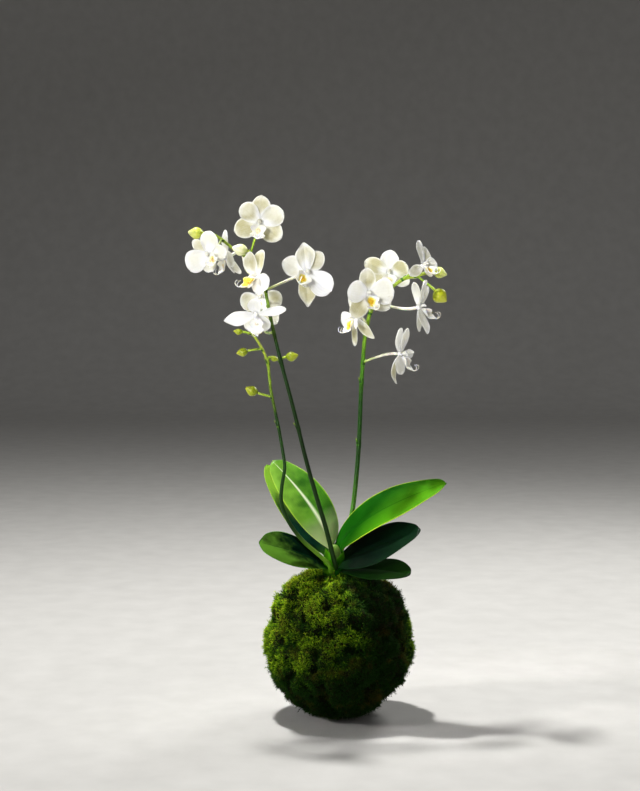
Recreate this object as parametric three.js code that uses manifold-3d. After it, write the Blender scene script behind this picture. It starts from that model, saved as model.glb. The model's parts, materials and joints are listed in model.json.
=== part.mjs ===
// A white moth orchid (Phalaenopsis) grown as a kokedama: a soil ball wrapped in living moss, with six fleshy
// leaves and three flower spikes standing in its top. Millimetres, +Z up, -Y towards the viewer.
// The origin is the middle of the flat spot that the ball rests on.
import * as THREE from "three";
import { mergeVertices } from "three/addons/utils/BufferGeometryUtils.js";
import Module from "manifold-3d";

const wasm = await Module();
wasm.setup();

// ---- Driving dimensions ----
const BALL_RADIUS = 58.4; // the moss ball between its clumps
const BALL_CENTRE_Z = 59.8; // under the radius, so that the foot is a flat disc
const MOSS_THICKNESS = 11;
const CLUMP_COUNT = 64; // cushions of moss on the ball
const CLUMP_HEIGHT = 5;
const CLUMP_SPREAD = 0.33; // radians that a cushion reaches from its middle
const SEAT_GAP = 0.3; // between pieces that touch

const CROWN_CENTRE = [-4, -9]; // the short stem that carries the leaves, a little in front of the ball's pole
const CROWN_RADIUS = 8.5; // from side to side, the way the leaves fan out
const CROWN_FLATNESS = 0.74; // its depth as a part of that
const CROWN_SIDES = 12;
const CROWN_FOOT_Z = 84;
const CROWN_TOP_Z = 145;

const PETAL = { fullest: 1.3, blunt: 0.5, claw: 0.3 }; // outline of the two petals
const SEPAL = { fullest: 1.1, blunt: 0.58, claw: 0.34 }; // and of the three sepals behind them
const TEPAL_THICKNESS = 0.85;
const HUB_RADIUS = 2.6; // the knob where the tepals meet
const LEAF_THICKNESS = 1.9;
const PEDICEL_RADIUS = 1.15;

// ---- Colours and finishes ----
const finish = (color, roughness) => new THREE.MeshStandardMaterial({ color, roughness, metalness: 0 });
const MOSS = finish(0x5c7a16, 0.95);
const SOIL = finish(0x3b2a1c, 1.0);
const LEAF = finish(0x3f8a1c, 0.35);
const STEM = finish(0x4c8024, 0.45);
const WHITE = finish(0xf4f3ea, 0.6);
const LIP = finish(0xf3dd7a, 0.5);
const BUD = finish(0xc3d23c, 0.5);

// ---- Small helpers ----
const V = (p) => new THREE.Vector3(...p);
const radians = THREE.MathUtils.degToRad;
const hash = (n) => {
  const s = Math.sin(n * 12.9898 + 4.137) * 43758.5453;
  return s - Math.floor(s);
};

// A closed solid through rings of points. Points i and n-1-i of a ring face each other, so that both faces of
// a thin blade are split into the same triangles, and its ends are closed by strips.
function loft(rings) {
  const n = rings[0].length;
  const half = n / 2;
  const index = [];
  const quad = (a, b, c, d) => index.push(a, b, c, a, c, d);
  for (let k = 0; k + 1 < rings.length; k++) {
    for (let i = 0; i < n; i++) {
      const j = (i + 1) % n;
      const [a, b, c, d] = [k * n + i, k * n + j, (k + 1) * n + j, (k + 1) * n + i];
      if (i < half) quad(a, b, c, d);
      else quad(b, c, d, a);
    }
  }
  const last = (rings.length - 1) * n;
  for (let i = 0; i + 1 < half; i++) {
    quad(n - 1 - i, n - 2 - i, i + 1, i);
    quad(last + i, last + i + 1, last + n - 2 - i, last + n - 1 - i);
  }
  const geometry = new THREE.BufferGeometry();
  const coordinates = rings.flat().flatMap((p) => p.toArray());
  geometry.setAttribute("position", new THREE.Float32BufferAttribute(coordinates, 3));
  geometry.setIndex(index);
  return geometry;
}

function solid(geometry) {
  const bare = geometry.clone();
  bare.deleteAttribute("normal");
  bare.deleteAttribute("uv");
  const merged = mergeVertices(bare, 1e-4);
  const vertProperties = merged.attributes.position.array;
  const triVerts = new Uint32Array(merged.index.array);
  let made = new wasm.Manifold(new wasm.Mesh({ numProp: 3, vertProperties, triVerts }));
  if (made.volume() < 0) {
    triVerts.reverse();
    made = new wasm.Manifold(new wasm.Mesh({ numProp: 3, vertProperties, triVerts }));
  }
  return made;
}

function geometryOf(manifold) {
  const mesh = manifold.getMesh();
  const geometry = new THREE.BufferGeometry();
  geometry.setAttribute("position", new THREE.BufferAttribute(new Float32Array(mesh.vertProperties), 3));
  geometry.setIndex(new THREE.BufferAttribute(new Uint32Array(mesh.triVerts), 1));
  return geometry;
}

const joined = (solids) => solids.reduce((whole, next) => whole.add(next));

// A ring of points round a centre, in the plane of two unit vectors.
function ring(centre, side, over, radius, depth, sides) {
  return Array.from({ length: sides }, (_, i) => {
    const a = ((i + 0.5) / sides) * 2 * Math.PI;
    const across = side.clone().multiplyScalar(radius * Math.cos(a));
    return across.addScaledVector(over, depth * Math.sin(a)).add(centre);
  });
}

// A round stem along a curve, its radius given at each share of the length.
function stem(curve, radiusAt, steps, sides) {
  const { normals, binormals } = curve.computeFrenetFrames(steps);
  const rings = normals.map((normal, k) => {
    const radius = radiusAt(k / steps);
    return ring(curve.getPointAt(k / steps), normal, binormals[k], radius, radius, sides);
  });
  return loft(rings);
}

// A thin blade: surface(u, v) gives its upper face, u along it from 0 to 1 and v across it from -1 to 1.
function blade(surface, along, across, thickness) {
  const STEP = 1e-3;
  const rings = [];
  for (let k = 0; k <= along; k++) {
    const u = Math.sin(((k / along) * Math.PI) / 2);
    const upper = [];
    const lower = [];
    for (let i = 0; i <= across; i++) {
      const v = -1 + (2 * i) / across;
      const p = surface(u, v);
      const du = surface(Math.min(1, u + STEP), v).sub(surface(Math.max(0, u - STEP), v));
      const dv = surface(u, v + STEP).sub(surface(u, v - STEP));
      const normal = dv.cross(du).normalize();
      upper.push(p);
      lower.unshift(p.clone().addScaledVector(normal, -thickness));
    }
    rings.push([...upper, ...lower]);
  }
  return loft(rings);
}

// Half the width of a petal or leaf at share u, as a part of its full half width. point narrows its tip by that
// share.
function outline(u, { fullest, blunt, claw, point = 0 }) {
  const t = 0.03 + 0.955 * u;
  const full = Math.max(claw * (1 - u), Math.sin(Math.PI * t ** fullest) ** blunt);
  return full * (1 - point * THREE.MathUtils.smoothstep(u, 0.6, 1));
}

// ---- The ball ----
// Height of the moss cushions over the ball in a direction: the tallest of the cushions that reach it.
const CLUMPS = Array.from({ length: CLUMP_COUNT }, (_, i) => {
  const z = 1 - (2 * (i + 0.5)) / CLUMP_COUNT;
  const turn = i * Math.PI * (3 - Math.sqrt(5)) + 0.5 * hash(i);
  const r = Math.sqrt(1 - z * z);
  return {
    towards: new THREE.Vector3(r * Math.cos(turn), r * Math.sin(turn), z),
    height: CLUMP_HEIGHT * (0.45 + 0.55 * hash(i + 200)),
    spread: CLUMP_SPREAD * (0.75 + 0.5 * hash(i + 400)),
  };
});

function mossRelief(direction) {
  let tallest = 0;
  for (const { towards, height, spread } of CLUMPS) {
    const share = direction.angleTo(towards) / spread;
    if (share < 1) tallest = Math.max(tallest, height * Math.sqrt(1 - share * share));
  }
  return tallest;
}

// A ball whose radius follows a function of the direction, cut flat at floorZ.
function ball(radiusAt, floorZ, around, down) {
  const geometry = new THREE.SphereGeometry(1, around, down).rotateX(Math.PI / 2);
  const position = geometry.attributes.position;
  for (let i = 0; i < position.count; i++) {
    const direction = new THREE.Vector3().fromBufferAttribute(position, i).normalize();
    const p = direction.clone().multiplyScalar(radiusAt(direction));
    position.setXYZ(i, p.x, p.y, Math.max(floorZ, p.z + BALL_CENTRE_Z));
  }
  return solid(geometry);
}

// The short stem: a flattened post that stands in a plain hole in the soil, fullest where the leaves clasp
// it.
function crownPost(extra) {
  const profile = [
    [CROWN_FOOT_Z - extra, 0.45],
    [CROWN_FOOT_Z + 8, 0.75],
    [118, 1],
    [130, 0.9],
    [CROWN_TOP_Z - 5, 0.62],
    [CROWN_TOP_Z + extra, 0.3],
  ];
  const [side, over] = [new THREE.Vector3(1, 0, 0), new THREE.Vector3(0, 1, 0)];
  const rings = profile.map(([z, share]) => {
    const radius = CROWN_RADIUS * share;
    const middle = V([...CROWN_CENTRE, z]);
    return ring(middle, side, over, radius + extra, radius * CROWN_FLATNESS + extra, CROWN_SIDES);
  });
  return solid(loft(rings));
}

const crown = crownPost(0);
const crownSeat = crownPost(SEAT_GAP); // the crown with its seating gap
const coreRadius = BALL_RADIUS - MOSS_THICKNESS;
const soilCore = ball(() => coreRadius, MOSS_THICKNESS, 16, 10).subtract(crownSeat);
const mossCover = ball((d) => BALL_RADIUS + mossRelief(d), 0, 36, 22)
  .subtract(ball(() => coreRadius + SEAT_GAP, MOSS_THICKNESS - SEAT_GAP, 16, 10))
  .subtract(crownSeat);

// ---- Leaves: a fan of three to each side, oldest lowest ----
// path is the midrib's Bezier curve, tilt turns the blade about it, in degrees, with the far edge up, and
// channel is how far its halves rise from the midrib, as a part of the half width. The rest is its outline,
// where that differs from LEAF_SHAPE.
const LEAF_SHAPE = { fullest: 1.3, blunt: 0.58, claw: 0.24 };
const LEAVES = {
  leaf_left_upper: {
    path: [[-6, -8, 142.5], [-15.5, -10, 160.5], [-34, 3, 189.5], [-60, 18, 211.5]],
    width: 33, tilt: 42, channel: 0.04, fullest: 1.25, blunt: 0.5,
  },
  leaf_left_middle: {
    path: [[-6, -6, 136], [-17, 9, 151], [-39, 17, 171.5], [-61, 27, 202]],
    width: 32, tilt: 38, channel: 0.16,
  },
  leaf_left_lower: {
    path: [[-7, -8.5, 126], [-22.5, -17.5, 138.5], [-42, -26, 144], [-65, -28, 150]],
    width: 40, tilt: 34, channel: 0.1,
  },
  leaf_right_upper: {
    path: [[0.5, -9, 142], [10.5, -10, 167], [49.5, -16, 184.5], [86.5, -28, 198.5]],
    width: 38, tilt: 36, channel: 0.1, fullest: 1.55, blunt: 0.5, point: 0.2,
  },
  leaf_right_middle: {
    path: [[0, -10, 131.5], [17, -19, 140.5], [41, -31, 151.5], [64.5, -42, 162]],
    width: 47, tilt: 36, channel: 0.1, fullest: 1.15, claw: 0.15, point: 0.15,
  },
  leaf_right_lower: {
    path: [[-2, -10, 124], [18.5, -21, 129], [39.5, -34, 129], [56, -47, 127]],
    width: 32, tilt: 22, channel: 0.08,
  },
};

function leaf({ path, width, tilt, channel, ...shape }) {
  const midrib = new THREE.CubicBezierCurve3(...path.map(V));
  const surface = (u, v) => {
    const along = midrib.getTangent(u);
    const side = new THREE.Vector3().crossVectors(along, new THREE.Vector3(0, 0, 1)).normalize();
    side.applyAxisAngle(along, -radians(tilt) * Math.sign(side.y));
    const over = new THREE.Vector3().crossVectors(side, along);
    const half = (width / 2) * outline(u, { ...LEAF_SHAPE, ...shape });
    const rise = channel * half * Math.abs(v) * (1.25 - 0.5 * Math.abs(v));
    return midrib.getPoint(u).addScaledVector(side, half * v).addScaledVector(over, rise);
  };
  return solid(blade(surface, 9, 4, LEAF_THICKNESS)).subtract(crownSeat);
}

// ---- Flower spikes ----
const SPIKES = {
  spike_centre: {
    foot: 2.1,
    tip: 1.15,
    steps: 28,
    path: [[-2.4, -12, 125], [-3, -17.6, 128.5], [-5.4, -19.7, 138], [-10.6, -22, 159], [-17, -26, 181],
      [-23, -29, 202], [-29, -31, 225], [-34.5, -32, 248], [-40, -33, 270], [-45.5, -33, 290.5],
      [-50.5, -33, 310.5], [-55, -32, 330], [-57.8, -30, 344], [-60.5, -27, 357], [-65, -25, 368.5],
      [-71.5, -24, 378.5], [-79.5, -22, 383.5], [-87.5, -20, 389], [-95, -18, 395], [-103, -17, 400]],
    bracts: [0.41, 0.585],
  },
  spike_left: {
    foot: 1.9,
    tip: 1.0,
    steps: 22,
    path: [[-5, -11.5, 121.6], [-7.6, -19.3, 124.4], [-10.8, -23.4, 132.8], [-17.8, -24.4, 141],
      [-29, -27, 151], [-37.5, -30, 161], [-44, -32, 173], [-47.2, -33, 185], [-46.5, -33, 197.5], [-44.3, -33, 211],
      [-45.5, -32, 222], [-49, -30, 242], [-52.3, -29, 258], [-55.3, -28, 272], [-56.8, -27, 285],
      [-58.2, -27, 297], [-62.5, -27, 307], [-66.8, -27, 314.5], [-70, -27.5, 318.5], [-74, -28.5, 320.5]],
    bracts: [0.637, 0.865],
  },
  spike_right: {
    foot: 2.0,
    tip: 1.1,
    steps: 26,
    path: [[-2, -6, 131], [1, -0.5, 136], [4, 3, 145], [8, 5.5, 156], [11.7, 8, 174], [14.2, 10, 196],
      [16.3, 12, 221], [17.5, 13, 246], [18.4, 13, 271], [19.8, 12, 294], [20.8, 11, 309], [22.3, 10, 321],
      [24.7, 9, 332], [29.6, 8, 344.5], [37, 7, 352.5], [45.2, 6, 358], [53.8, 5, 364], [61.3, 4, 365.5],
      [68.1, 3, 367.5], [74, 2.5, 368.8]],
    bracts: [0.367, 0.555],
  },
};

// Open flowers. fork is the share of the spike's length where the flower's stalk leaves it, and at is where
// the tepals meet; by is a point that the stalk goes past. turn is [azimuth, elevation, roll] in degrees:
// azimuth turns the face from the viewer towards +X, elevation lifts it, and roll turns the dorsal sepal
// clockwise as the viewer sees it. tepals are the dorsal sepal, the right and the left petal and the right
// and the left lateral sepal, each with its [degrees from straight up, reach, width, lean, curl, point]: lean
// is how far it leans forward, curl how far its tip curls that way and point how far its tip narrows.
const BLOOMS = {
  spike_centre: [
    { fork: 0.88, at: [-64.5, -24, 409], turn: [0, -4, 8], size: 0.94,
      tepals: [[-2, 23, 17, 0.1], [57, 22.5, 19, 0.12], [-53, 21.5, 16.5, 0.1],
        [119, 23, 19, 0.1], [-119, 23, 18, 0.1]] },
    { fork: 0.97, at: [-104.5, -34, 383.5], turn: [-20, -8, -50], size: 0.85,
      tepals: [[0, 20, 12, 0.1], [58, 22, 18, 0.05], [-66, 25, 22, 0.12],
        [134, 19, 16, 0.05], [-128, 17.5, 16, 0.1]] },
    { fork: 0.81, at: [-91.5, -12, 381.5], by: [-75, -16, 370], turn: [-60, -16, -4], size: 0.85,
      tepals: [[0, 25, 14, -0.2, -0.05], [100, 19, 17, 0.1], [-50, 21, 15, 0],
        [160, 20, 15, -0.3], [-150, 20, 14, -0.35]] },
    { fork: 0.82, at: [-65.5, -52, 365], turn: [-58, 18, 4], size: 0.92,
      tepals: [[-4, 23.5, 19, 0.14, -0.05], [112, 20, 17, -0.2], [-34, 20, 17, 0.5, -0.05],
        [150, 14, 14, -0.1], [-120, 15, 14, 0.1]] },
    { fork: 0.72, at: [-66, -58, 336], turn: [-6, -30, -4], size: 0.9,
      tepals: [[0, 16, 13, 0.1], [70, 31, 9, 0.3, 0.05], [-92, 28, 15, 0.2, 0.02, 0.4],
        [158, 19, 15, 0], [-150, 19, 14, 0]] },
    { fork: 0.67, at: [-65.5, -8, 349], by: [-62, -5, 322], turn: [10, 4, 4], size: 0.94,
      tepals: [[0, 20, 16, 0.05], [106, 20, 20, 0.1], [-118, 18, 17, 0.1],
        [146, 28, 17, 0.05], [-168, 24, 15, 0.05]] },
    { fork: 0.785, at: [-27, -26, 368.5], turn: [16, 4, 44], size: 1,
      tepals: [[-6, 21, 15, 0.1, -0.04], [84, 25, 21, 0.1], [-50, 24, 17, 0.1, 0, 0.5],
        [136, 27.5, 15, 0.1, 0, 0.5], [-110, 22, 17, 0.1]] },
  ],
  spike_right: [
    { fork: 0.775, at: [23, -24, 352], turn: [22, -4, -6], size: 0.92,
      tepals: [[-3, 22.5, 16, 0.1], [88, 22.5, 24, 0.2], [-76, 22, 20, 0.2],
        [128, 24, 17, 0.1], [-136, 26, 18, 0.1]] },
    { fork: 0.93, at: [42, 24, 369.5], by: [64, 28, 365], turn: [0, -8, 0], size: 0.92,
      tepals: [[0, 20, 17, 0.1], [74, 17.5, 16, 0.1], [-66, 24.5, 15, 0.1],
        [120, 21, 15, 0.1], [-108, 18, 15, 0.1]] },
    { fork: 0.735, at: [13, -2, 332.5], turn: [-62, -6, 4], size: 0.88,
      tepals: [[0, 22, 15, 0.1], [112, 15, 14, 0.3], [-108, 18, 16, 0.25],
        [160, 23, 18, -0.62], [-160, 31, 12, -0.12]] },
    { fork: 0.92, at: [68, -8, 374], turn: [50, 22, 6], size: 0.84,
      tepals: [[20, 20, 16, 0.25, -0.05], [84, 16, 15, 0.3], [-20, 24, 13, 0.3, -0.05],
        [134, 14, 12, 0.1], [-116, 24, 11, -0.1]] },
    { fork: 0.81, at: [64.5, -12, 340.5], turn: [62, 14, -2], size: 0.94,
      tepals: [[4, 22, 18, 0.01], [28, 18, 10, 0.4], [-24, 22, 18, 0.62],
        [168, 21, 16, -0.3, 0, 0.3], [-168, 25, 17, 0.18, 0, 0.3]] },
    { fork: 0.62, at: [50, -2, 302], turn: [66, -4, 4], size: 0.94,
      tepals: [[-8, 23, 18, -0.4, 0.4], [84, 14, 8, 0.4], [-22, 24, 19, 0.22, 0.04],
        [168, 27, 13, -0.8, 0.7, 0.5], [-166, 18, 24, 0.1]] },
  ],
  spike_left: [],
};

// Buds still closed. at is the middle, and points is where the tip looks.
const BUDS = {
  spike_centre: [
    { fork: 0.995, at: [-116.5, -17, 401], points: [-1, 0, 0.05], length: 12.4, width: 10.2 },
    { fork: 0.92, at: [-80, -31, 387.5], points: [-0.9, -0.25, 0.2], length: 13.3, width: 10 },
    { fork: 0.6, at: [-38.4, -31, 301.6], points: [0.9, -0.1, 0.15], length: 10.5, width: 8.2 },
  ],
  spike_left: [
    { fork: 0.745, at: [-70.9, -30, 273.8], points: [-0.85, -0.1, 0.35], length: 11, width: 8.8 },
    { fork: 0.92, at: [-78.5, -30, 304.8], points: [-0.85, -0.1, -0.2], length: 9.6, width: 7.4 },
    { fork: 0.995, at: [-81.6, -29.5, 321.4], points: [-0.95, 0, 0.1], length: 7.6, width: 5.4 },
    { fork: 0.865, at: [-52.6, -25, 299.4], points: [0.85, 0.1, -0.25], length: 7.6, width: 5 },
  ],
  spike_right: [
    { fork: 0.995, at: [83, 2, 369], points: [0.9, -0.1, -0.35], length: 12, width: 9.5 },
    { fork: 0.96, at: [83.5, 4, 349.5], points: [0.6, -0.1, -0.6], length: 13.5, width: 13 },
  ],
};

// The turned frame of a flower: x to the viewer's right, y up to the dorsal sepal and z out of the face.
function flowerFrame({ at, turn, size }) {
  const [a, e, roll] = turn.map(radians);
  const face = new THREE.Vector3(Math.sin(a) * Math.cos(e), -Math.cos(a) * Math.cos(e), Math.sin(e));
  const up = new THREE.Vector3(-Math.sin(a) * Math.sin(e), Math.cos(a) * Math.sin(e), Math.cos(e));
  up.applyAxisAngle(face, -roll);
  const right = new THREE.Vector3().crossVectors(up, face);
  return new THREE.Matrix4().makeBasis(right, up, face).scale(V([size, size, size])).setPosition(V(at));
}

function tepal([angle, reach, width, lean, curl = 0, point = 0], shape, base) {
  const START = 1.2; // millimetres from the flower's middle
  const surface = (u, v) => {
    const r = START + u * (reach - START);
    const half = (width / 2) * outline(u, { ...shape, point });
    const cup = 0.12 * half * v * v;
    return new THREE.Vector3(half * v, r, base + lean * r + (curl * r * r) / reach + cup)
      .applyAxisAngle(new THREE.Vector3(0, 0, 1), -radians(angle));
  };
  return solid(blade(surface, 4, 2, TEPAL_THICKNESS));
}

const knob = (extra) => solid(new THREE.SphereGeometry(HUB_RADIUS + extra, 6, 4));

// Three sepals behind, two petals before them, the knob and the column, grown as one piece.
function bloom({ tepals: [dorsal, rightPetal, leftPetal, ...laterals] }) {
  const column = new THREE.CatmullRomCurve3([V([0, 0.2, 0]), V([0, 0.9, 3.4]), V([0, 0.5, 6.6])]);
  return joined([
    knob(0),
    ...[dorsal, ...laterals].map((row) => tepal(row, SEPAL, 0.1)),
    ...[rightPetal, leftPetal].map((row) => tepal(row, PETAL, 1.3)),
    solid(stem(column, (s) => 1.5 + 0.5 * Math.sin(Math.PI * s), 2, 6)),
  ]);
}

// The lip hangs in front of the column's foot: one thin sheet whose two side lobes stand up beside the column
// and whose middle lobe, past a slight waist, runs down and then forward to a point, like a shallow cup.
const LIP_WIDTHS = [1.5, 5.6, 7.2, 5, 7, 5, 0.8]; // half widths at even steps from foot to tip
const LIP_CURL = [0.5, 0.8, 0.7, 0.5, 0.25, 0.2, 0.1]; // how far its edges rise, as a part of the half width
const LIP_THICKNESS = 0.8;
function lip() {
  const path = [[0, -1.9, 1.6], [0, -7.2, 4.6], [0, -12.2, 8.4], [0, -13.6, 14]];
  const middle = new THREE.CatmullRomCurve3(path.map(V));
  const at = (list, u) => {
    const k = Math.min(list.length - 2, Math.floor(u * (list.length - 1)));
    return THREE.MathUtils.lerp(list[k], list[k + 1], u * (list.length - 1) - k);
  };
  const surface = (u, v) => {
    const half = at(LIP_WIDTHS, u);
    const along = middle.getTangent(u);
    const over = new THREE.Vector3(0, along.z, -along.y);
    return middle.getPoint(u).add(V([half * v, 0, 0])).addScaledVector(over, at(LIP_CURL, u) * half * v * v);
  };
  return solid(blade(surface, 6, 4, LIP_THICKNESS)).subtract(knob(SEAT_GAP));
}

// A stalk from its fork on the spike to the back of a flower or bud, past a point where one is given.
function pedicel(spine, { fork, by }, end, arrival, radius) {
  const start = spine.getPointAt(fork);
  const behind = end.clone().addScaledVector(arrival, -0.3 * start.distanceTo(end));
  const curve = by
    ? new THREE.CatmullRomCurve3([start, V(by), behind, end])
    : new THREE.CubicBezierCurve3(start, start.clone().lerp(behind, 0.4), behind, end);
  return solid(stem(curve, (s) => radius * (1 + 0.25 * s), by ? 6 : 4, 4));
}

// A pointed scale that hugs the spike at a joint.
function bract(spine, share) {
  const foot = spine.getPointAt(share);
  const along = spine.getTangentAt(share);
  const out = new THREE.Vector3().crossVectors(along, new THREE.Vector3(0, 1, 0)).normalize();
  const tip = foot.clone().addScaledVector(along, 6.5).addScaledVector(out, 2.6);
  return solid(stem(new THREE.LineCurve3(foot.addScaledVector(along, -1), tip), (s) => 2.6 - 2.2 * s, 2, 4));
}

function spike(name) {
  const { path, foot, tip, steps, bracts } = SPIKES[name];
  const spine = new THREE.CatmullRomCurve3(path.map(V), false, "catmullrom", 0.5);
  const pieces = [solid(stem(spine, (s) => foot + (tip - foot) * s, steps, 6))];
  for (const share of bracts) pieces.push(bract(spine, share));
  for (const flower of BLOOMS[name]) {
    const face = new THREE.Vector3().setFromMatrixColumn(flowerFrame(flower), 2).normalize();
    const end = V(flower.at).addScaledVector(face, -(HUB_RADIUS * flower.size + SEAT_GAP));
    pieces.push(pedicel(spine, flower, end, face, PEDICEL_RADIUS));
  }
  for (const closed of BUDS[name]) {
    const face = V(closed.points).normalize();
    const end = V(closed.at).addScaledVector(face, -(closed.length / 2 + SEAT_GAP));
    pieces.push(pedicel(spine, closed, end, face, PEDICEL_RADIUS * 0.85));
  }
  return joined(pieces).subtract(crownSeat);
}

// A bud: an egg with a blunt foot and a bluntly pointed tip.
function bud({ at, points, length, width }) {
  const profile = [[0, -0.5], [0.28, -0.47], [0.8, -0.28], [1, 0.02], [0.72, 0.3], [0.3, 0.46], [0, 0.5]];
  const edge = profile.map(([r, y]) => new THREE.Vector2((r * width) / 2, y * length));
  const egg = new THREE.LatheGeometry(edge, 8);
  const turn = new THREE.Quaternion().setFromUnitVectors(new THREE.Vector3(0, 1, 0), V(points).normalize());
  return solid(egg.applyQuaternion(turn).translate(...at));
}

// ---- The whole plant ----
const plant = new THREE.Group();

function place(name, made, material, matrix) {
  const mesh = new THREE.Mesh(geometryOf(made), material);
  mesh.name = name;
  if (matrix) matrix.decompose(mesh.position, mesh.quaternion, mesh.scale);
  plant.add(mesh);
}

place("moss_cover", mossCover, MOSS);
place("soil_core", soilCore, SOIL);
place("crown", crown, STEM);
for (const [name, shape] of Object.entries(LEAVES)) place(name, leaf(shape), LEAF);
for (const name of Object.keys(SPIKES)) place(name, spike(name), STEM);
const lipSolid = lip();
Object.values(BLOOMS).flat().forEach((flower, i) => {
  const number = String(i + 1).padStart(2, "0");
  place(`bloom_${number}`, bloom(flower), WHITE, flowerFrame(flower));
  place(`lip_${number}`, lipSolid, LIP, flowerFrame(flower));
});
Object.values(BUDS).flat().forEach((closed, i) => place(`bud_${i + 1}`, bud(closed), BUD));

export default plant;
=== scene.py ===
"""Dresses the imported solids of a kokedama: a moss-wrapped ball of soil that a white moth orchid grows from.

Sizes are millimetres in the part's own frame, with +Z up and -Y towards the viewer, and the finished meshes
are in metres. The curves and formulas follow those of the solids, so every piece stays where its solid is,
to within a few millimetres.
"""

import json
import logging
import math
import random
from collections.abc import Callable, Sequence
from dataclasses import dataclass, replace
from enum import Enum
from functools import partial

import bmesh
import bpy
from mathutils import Matrix, Quaternion, Vector, noise

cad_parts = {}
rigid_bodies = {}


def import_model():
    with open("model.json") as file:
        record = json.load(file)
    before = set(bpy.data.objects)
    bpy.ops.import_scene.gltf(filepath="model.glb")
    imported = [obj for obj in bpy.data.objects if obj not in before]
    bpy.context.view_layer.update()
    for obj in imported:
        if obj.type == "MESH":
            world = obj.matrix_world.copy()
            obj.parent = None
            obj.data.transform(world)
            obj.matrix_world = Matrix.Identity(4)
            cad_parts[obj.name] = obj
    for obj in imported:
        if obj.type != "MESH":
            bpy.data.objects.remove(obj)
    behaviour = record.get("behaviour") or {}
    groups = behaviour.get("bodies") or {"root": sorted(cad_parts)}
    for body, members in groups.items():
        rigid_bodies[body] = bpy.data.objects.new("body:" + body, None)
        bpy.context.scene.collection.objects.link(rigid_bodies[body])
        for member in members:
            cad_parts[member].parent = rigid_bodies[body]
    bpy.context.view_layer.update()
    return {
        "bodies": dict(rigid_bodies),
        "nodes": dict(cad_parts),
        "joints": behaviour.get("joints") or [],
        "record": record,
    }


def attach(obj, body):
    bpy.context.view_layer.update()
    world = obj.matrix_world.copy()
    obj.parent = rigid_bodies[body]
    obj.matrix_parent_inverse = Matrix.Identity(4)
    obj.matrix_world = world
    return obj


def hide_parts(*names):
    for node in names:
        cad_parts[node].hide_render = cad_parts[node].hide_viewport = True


LOG = logging.getLogger("kokedama")
MM = 0.001
Point = tuple[float, float, float]
Colour = tuple[float, float, float, float]
# a tepal's degrees from straight up, reach, width, lean, curl and point; the last two are 0 if left out
TepalRow = tuple[float, ...]
Sprig = tuple[bpy.types.Mesh, list[float], list[float]]  # a mesh, and its points and UVs before it is placed
Y_AXIS, Z_AXIS = Vector((0, 1, 0)), Vector((0, 0, 1))
CROWN_MIDDLE = (-4.0, -9.0)
GOLDEN_ANGLE = math.pi * (3 - math.sqrt(5))  # spreads points evenly over a ball


class Slot(Enum):
    """The record's material slots."""

    MOSS = "moss"
    SOIL = "soil"
    LEAF = "leaf"
    STEM = "stem"
    PETAL = "petal"
    LIP = "lip"
    BUD = "bud"


# ---- Colours and shader nodes ----


def noise_scale(size_mm: float) -> float:
    """Give a noise's Scale for clouds or grains of a size in millimetres."""
    return 1 / (size_mm * MM)


def linear(hex_colour: str) -> Colour:
    """Turn an sRGB hex colour such as "#3f8a1c" into linear red, green, blue and alpha.

    Args:
        hex_colour: Six hex digits after a hash sign.

    Returns:
        The colour as the shader sockets take it.
    """
    parts = (int(hex_colour[i : i + 2], 16) / 255 for i in (1, 3, 5))
    red, green, blue = (c / 12.92 if c <= 0.04045 else ((c + 0.055) / 1.055) ** 2.4 for c in parts)
    return red, green, blue, 1.0


def add_node(
    tree: bpy.types.NodeTree,
    kind: str,
    inputs: dict[str | int, object] | None = None,
    stops: Sequence[tuple[float, str]] = (),
    **settings: object,
) -> bpy.types.Node:
    """Add a node with its settings, its values and its links.

    Args:
        tree: The material's or the world's node tree.
        kind: The node's type, such as "ShaderNodeMix".
        inputs: Values, or sockets of other nodes to link, by the input's name or number.
        stops: Places and hex colours of a colour ramp.
        **settings: Attributes of the node, such as operation="ADD".

    Returns:
        The new node.
    """
    made = tree.nodes.new(kind)
    for name, value in settings.items():
        setattr(made, name, value)
    for key, value in (inputs or {}).items():
        if isinstance(value, bpy.types.NodeSocket):
            tree.links.new(value, made.inputs[key])
        else:
            made.inputs[key].default_value = value
    if stops:
        elements = made.color_ramp.elements
        while len(elements) < len(stops):
            elements.new(1.0)
        for element, (place, colour) in zip(elements, stops):
            element.position = place
            element.color = linear(colour)
    return made


def new_material(name: str, shader: dict[str | int, object]) -> tuple[bpy.types.Material, bpy.types.Node]:
    """Make a material whose surface is one Principled shader.

    Args:
        name: What the real material is.
        shader: Values for the shader's own sockets.

    Returns:
        The material and its shader node.
    """
    material = bpy.data.materials.new(name)
    material.use_nodes = True
    tree = material.node_tree
    tree.nodes.clear()
    principled = add_node(tree, "ShaderNodeBsdfPrincipled", shader)
    add_node(tree, "ShaderNodeOutputMaterial", {"Surface": principled.outputs["BSDF"]})
    return material, principled


# Numbers of a colour Mix node's sockets: their names are the same for every kind of data.
FACTOR, FIRST, SECOND, MIXED = 0, 6, 7, 2


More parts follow.
